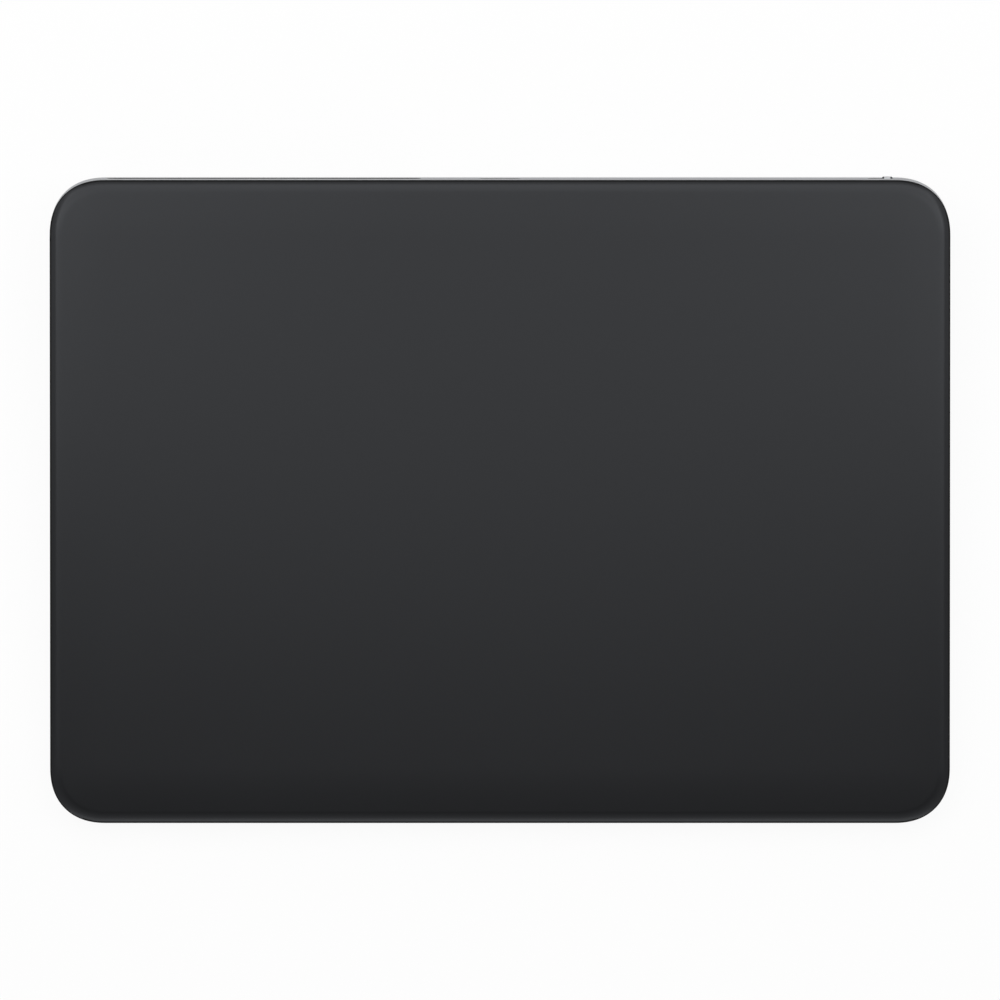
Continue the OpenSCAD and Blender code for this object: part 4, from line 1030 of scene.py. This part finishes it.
class TRACKPAD_OT_touch_cable(bpy.types.Operator):
    """Makes the flat cable from the touch plate down to the main board"""

    bl_idname = "trackpad.touch_cable"
    bl_label = "Touch cable"

    def execute(self, context):
        low, high = pad_box("touch_cable")
        board = pad_box("main_board")
        film_low, film_high = pad_box("strain_gauges")
        thickness = film_high.z - film_low.z
        end_z = low.z + thickness
        drop_start = low.y + CABLE_LEVEL * (high.y - low.y)
        drop_end = board[0].y
        line = [(low.y, high.z)]
        for i in range(CABLE_STEPS + 1):
            share = i / CABLE_STEPS
            eased = share * share * (3 - 2 * share)
            line.append((drop_start + (drop_end - drop_start) * share, high.z + (end_z - high.z) * eased))
        line.append((high.y, end_z))
        rings = []
        for y, top in line:
            under = top - thickness
            section = ((low.x, under), (high.x, under), (high.x, top), (low.x, top))
            rings.append([Vector((x, y, z)) for x, z in section])
        piece = to_object(lofted(rings), "touch_ribbon")
        finish_piece(piece, ["touch_cable"])
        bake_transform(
            piece, "spring_ends", "base",
            start=TO_ROW @ Vector((0, drop_start, high.z)), end=TO_ROW @ Vector((0, drop_end, high.z)),
        )
        return {"FINISHED"}


class TRACKPAD_OT_inner_finishes(bpy.types.Operator):
    """Gives every piece that keeps its shape from the frame its real finish"""

    bl_idname = "trackpad.inner_finishes"
    bl_label = "Inner finishes"

    def execute(self, context):
        colours = context.scene.trackpad_colours
        finishes = finishes_of(colours)
        for node, slot in SLOTS.items():
            frame["nodes"][node].material_slots[0].material = finishes[slot]
        frame["nodes"]["haptic_coil"].material_slots[0].material = wound_wire(colours)
        return {"FINISHED"}


# Floor: its reach each way in metres, and how much of it is plain white where the camera sees it and where
# gloss mirrors it; the rest keeps the shadow
FLOOR_REACH = 4.0
FLOOR_SEEN = 0.91
FLOOR_MIRRORED = 0.3

# Room: greys from the horizon at 0 to overhead at 1, towards front and rear and towards the sides
ROOM_ENDS = ((0.05, "#DEDEDE"), (0.45, "#D6D6D6"), (0.75, "#AEAEAE"), (0.95, "#848484"))
ROOM_SIDES = ((0.05, "#D4D4D4"), (0.2, "#9C9C9C"), (0.75, "#909090"), (0.95, "#848484"))

# Lamps: name, place, point that it faces, width and depth, all in metres, and power in watts
LAMPS = (
    ("overhead_panel", (0.0, 0.0535, 0.578), (0.0, 0.0535, 0.0), (0.16, 0.293), 0.132),
    ("left_panel", (-0.3725, 0.07, 0.578), (-0.3725, 0.07, 0.0), (0.585, 0.26), 0.7),
    ("right_panel", (0.3725, 0.07, 0.578), (0.3725, 0.07, 0.0), (0.585, 0.26), 0.7),
    ("left_card", (-0.35, 0.19, 0.21), (0.0, 0.19, 0.21), (0.42, 0.38), 0.185),
    ("right_card", (0.35, 0.19, 0.21), (0.0, 0.19, 0.21), (0.42, 0.38), 0.185),
    ("rear_panel", (0.0, 0.5, 0.578), (0.0, 0.5, 0.0), (1.33, 0.6), 2.95),
    ("front_card", (0.0, -1.0, 0.3), (0.0, 0.0, 0.0), (1.6, 0.3), 0.82),
)

# Camera: lens and sensor in millimetres, width and middle of the view at the pad, lean to the rear, and the
# nearest distance that it shows; the long lens makes the view nearly parallel, as in the photograph
LENS = 1000.0
SENSOR = 36.0
VIEW_WIDTH = 177.69 * MM
VIEW_MIDDLE = Vector((0, 0.111 * MM, 8 * MM))
LEAN = math.radians(0.67)
CLIP_START = 0.1


class TRACKPAD_OT_stage(bpy.types.Operator):
    """Makes the floor, the light and the camera"""

    bl_idname = "trackpad.stage"
    bl_label = "Stage"

    def execute(self, context):
        self.floor(context)
        self.sky(context)
        self.lamps(context)
        self.camera(context)
        return {"FINISHED"}

    def floor(self, context):
        """White floor: seen and mirrored mostly as plain white, with the shadow of the pad left in it."""
        mesh = bmesh.new()
        bmesh.ops.create_grid(mesh, x_segments=8, y_segments=8, size=FLOOR_REACH)
        data = bpy.data.meshes.new("floor")
        mesh.to_mesh(data)
        mesh.free()
        floor = bpy.data.objects.new("floor", data)
        context.scene.collection.objects.link(floor)
        material, tree, _ = new_material("white_sweep")
        path = add(tree, "ShaderNodeLightPath")
        mirrored = add(tree, "ShaderNodeMath", {
            0: (path, "Is Glossy Ray"), 1: (path, "Is Transmission Ray"),
        }, operation="MAXIMUM")
        share = add(tree, "ShaderNodeMath", {0: (mirrored, "Value"), 1: FLOOR_MIRRORED}, operation="MULTIPLY")
        seen = add(tree, "ShaderNodeMath", {0: (path, "Is Camera Ray"), 1: FLOOR_SEEN}, operation="MULTIPLY")
        factor = add(tree, "ShaderNodeMath", {0: (seen, "Value"), 1: (share, "Value")}, operation="MAXIMUM")
        paint = add(tree, "ShaderNodeBsdfDiffuse", {"Color": linear("#F8F8F8")})
        glow = add(tree, "ShaderNodeEmission", {"Color": linear("#FFFFFF"), "Strength": 1.0})
        mix = add(tree, "ShaderNodeMixShader", {
            0: (factor, "Value"), 1: (paint, "BSDF"), 2: (glow, "Emission"),
        })
        add(tree, "ShaderNodeOutputMaterial", {"Surface": (mix, "Shader")})
        data.materials.append(material)

    def sky(self, context):
        """Grey room, bright at the horizon and dimmer overhead and to the sides."""
        world = bpy.data.worlds.new("studio")
        context.scene.world = world
        world.use_nodes = True
        tree = world.node_tree
        tree.nodes.clear()
        coords = add(tree, "ShaderNodeTexCoord")
        axes = add(tree, "ShaderNodeSeparateXYZ", {"Vector": (coords, "Generated")})
        ramps = []
        for greys in (ROOM_ENDS, ROOM_SIDES):
            ramp = add(tree, "ShaderNodeValToRGB", {"Fac": (axes, "Z")})
            stops = ramp.color_ramp.elements
            low, *between, high = greys
            for stop, (height, grey) in zip(stops, (low, high)):
                stop.position, stop.color = height, linear(grey)
            for height, grey in between:
                stops.new(height).color = linear(grey)
            ramps.append(ramp)
        sideways = add(tree, "ShaderNodeMath", {0: (axes, "X"), 1: (axes, "X")}, operation="MULTIPLY")
        room = add(tree, "ShaderNodeMix", {
            "Factor": (sideways, "Value"), "A": (ramps[0], "Color"), "B": (ramps[1], "Color"),
        }, data_type="RGBA")
        back = add(tree, "ShaderNodeBackground", {"Color": (room, "Result"), "Strength": 1.0})
        add(tree, "ShaderNodeOutputWorld", {"Surface": (back, "Background")})

    def lamps(self, context):
        """Soft panels overhead and behind, and cards beside and in front of the pad."""
        for name, place, aim, size, power in LAMPS:
            lamp = bpy.data.lights.new(name, "AREA")
            lamp.shape = "RECTANGLE"
            lamp.size, lamp.size_y = size
            lamp.energy = power
            holder = bpy.data.objects.new(name, lamp)
            context.scene.collection.objects.link(holder)
            holder.location = place
            holder.rotation_mode = "QUATERNION"
            holder.rotation_quaternion = (Vector(aim) - Vector(place)).to_track_quat("-Z", "Y")
            holder.visible_camera = False

    def camera(self, context):
        """Camera nearly straight above the pad, with the view of the photograph."""
        distance = VIEW_WIDTH * LENS / SENSOR
        camera = bpy.data.cameras.new("camera")
        camera.lens = LENS
        camera.sensor_width = SENSOR
        camera.clip_start = CLIP_START
        camera.clip_end = 2 * distance
        holder = bpy.data.objects.new("camera", camera)
        context.scene.collection.objects.link(holder)
        towards = Vector((0, math.sin(LEAN), math.cos(LEAN)))
        holder.location = VIEW_MIDDLE + distance * towards
        holder.rotation_euler = (-LEAN, 0, 0)
        context.scene.camera = holder
        context.scene.view_settings.view_transform = "Standard"


OPERATORS = (
    TRACKPAD_OT_inner_finishes, TRACKPAD_OT_cover_glass, TRACKPAD_OT_tub, TRACKPAD_OT_underside,
    TRACKPAD_OT_rear_fittings, TRACKPAD_OT_power_slider, TRACKPAD_OT_plate_springs, TRACKPAD_OT_touch_cable,
    TRACKPAD_OT_stage,
)


class TRACKPAD_PT_pieces(bpy.types.Panel):
    """Lists the pieces of the trackpad and the settings that they are made from"""

    bl_idname = "TRACKPAD_PT_pieces"
    bl_label = "Trackpad"
    bl_space_type = "VIEW_3D"
    bl_region_type = "UI"
    bl_category = "Trackpad"

    def draw(self, context):
        buttons = self.layout.column()
        for kind in OPERATORS:
            buttons.operator(kind.bl_idname)
        for group in (context.scene.trackpad_sizes, context.scene.trackpad_colours):
            settings = self.layout.box()
            for name in type(group).__annotations__:
                settings.prop(group, name)


CLASSES = (TrackpadSizes, TrackpadColours) + OPERATORS + (TRACKPAD_PT_pieces,)


def register():
    """Registers the classes and hangs the settings on the scene."""
    for kind in CLASSES:
        bpy.utils.register_class(kind)
    bpy.types.Scene.trackpad_sizes = PointerProperty(type=TrackpadSizes)
    bpy.types.Scene.trackpad_colours = PointerProperty(type=TrackpadColours)


def unregister():
    """Takes the settings off the scene and unregisters the classes."""
    del bpy.types.Scene.trackpad_colours
    del bpy.types.Scene.trackpad_sizes
    for kind in reversed(CLASSES):
        bpy.utils.unregister_class(kind)


def main():
    """Makes the pieces and the stage."""
    register()
    bpy.ops.trackpad.inner_finishes()
    bpy.ops.trackpad.cover_glass()
    bpy.ops.trackpad.tub()
    bpy.ops.trackpad.underside()
    bpy.ops.trackpad.rear_fittings()
    bpy.ops.trackpad.power_slider()
    bpy.ops.trackpad.plate_springs()
    bpy.ops.trackpad.touch_cable()
    bpy.ops.trackpad.stage()


if __name__ == "__main__":
    main()
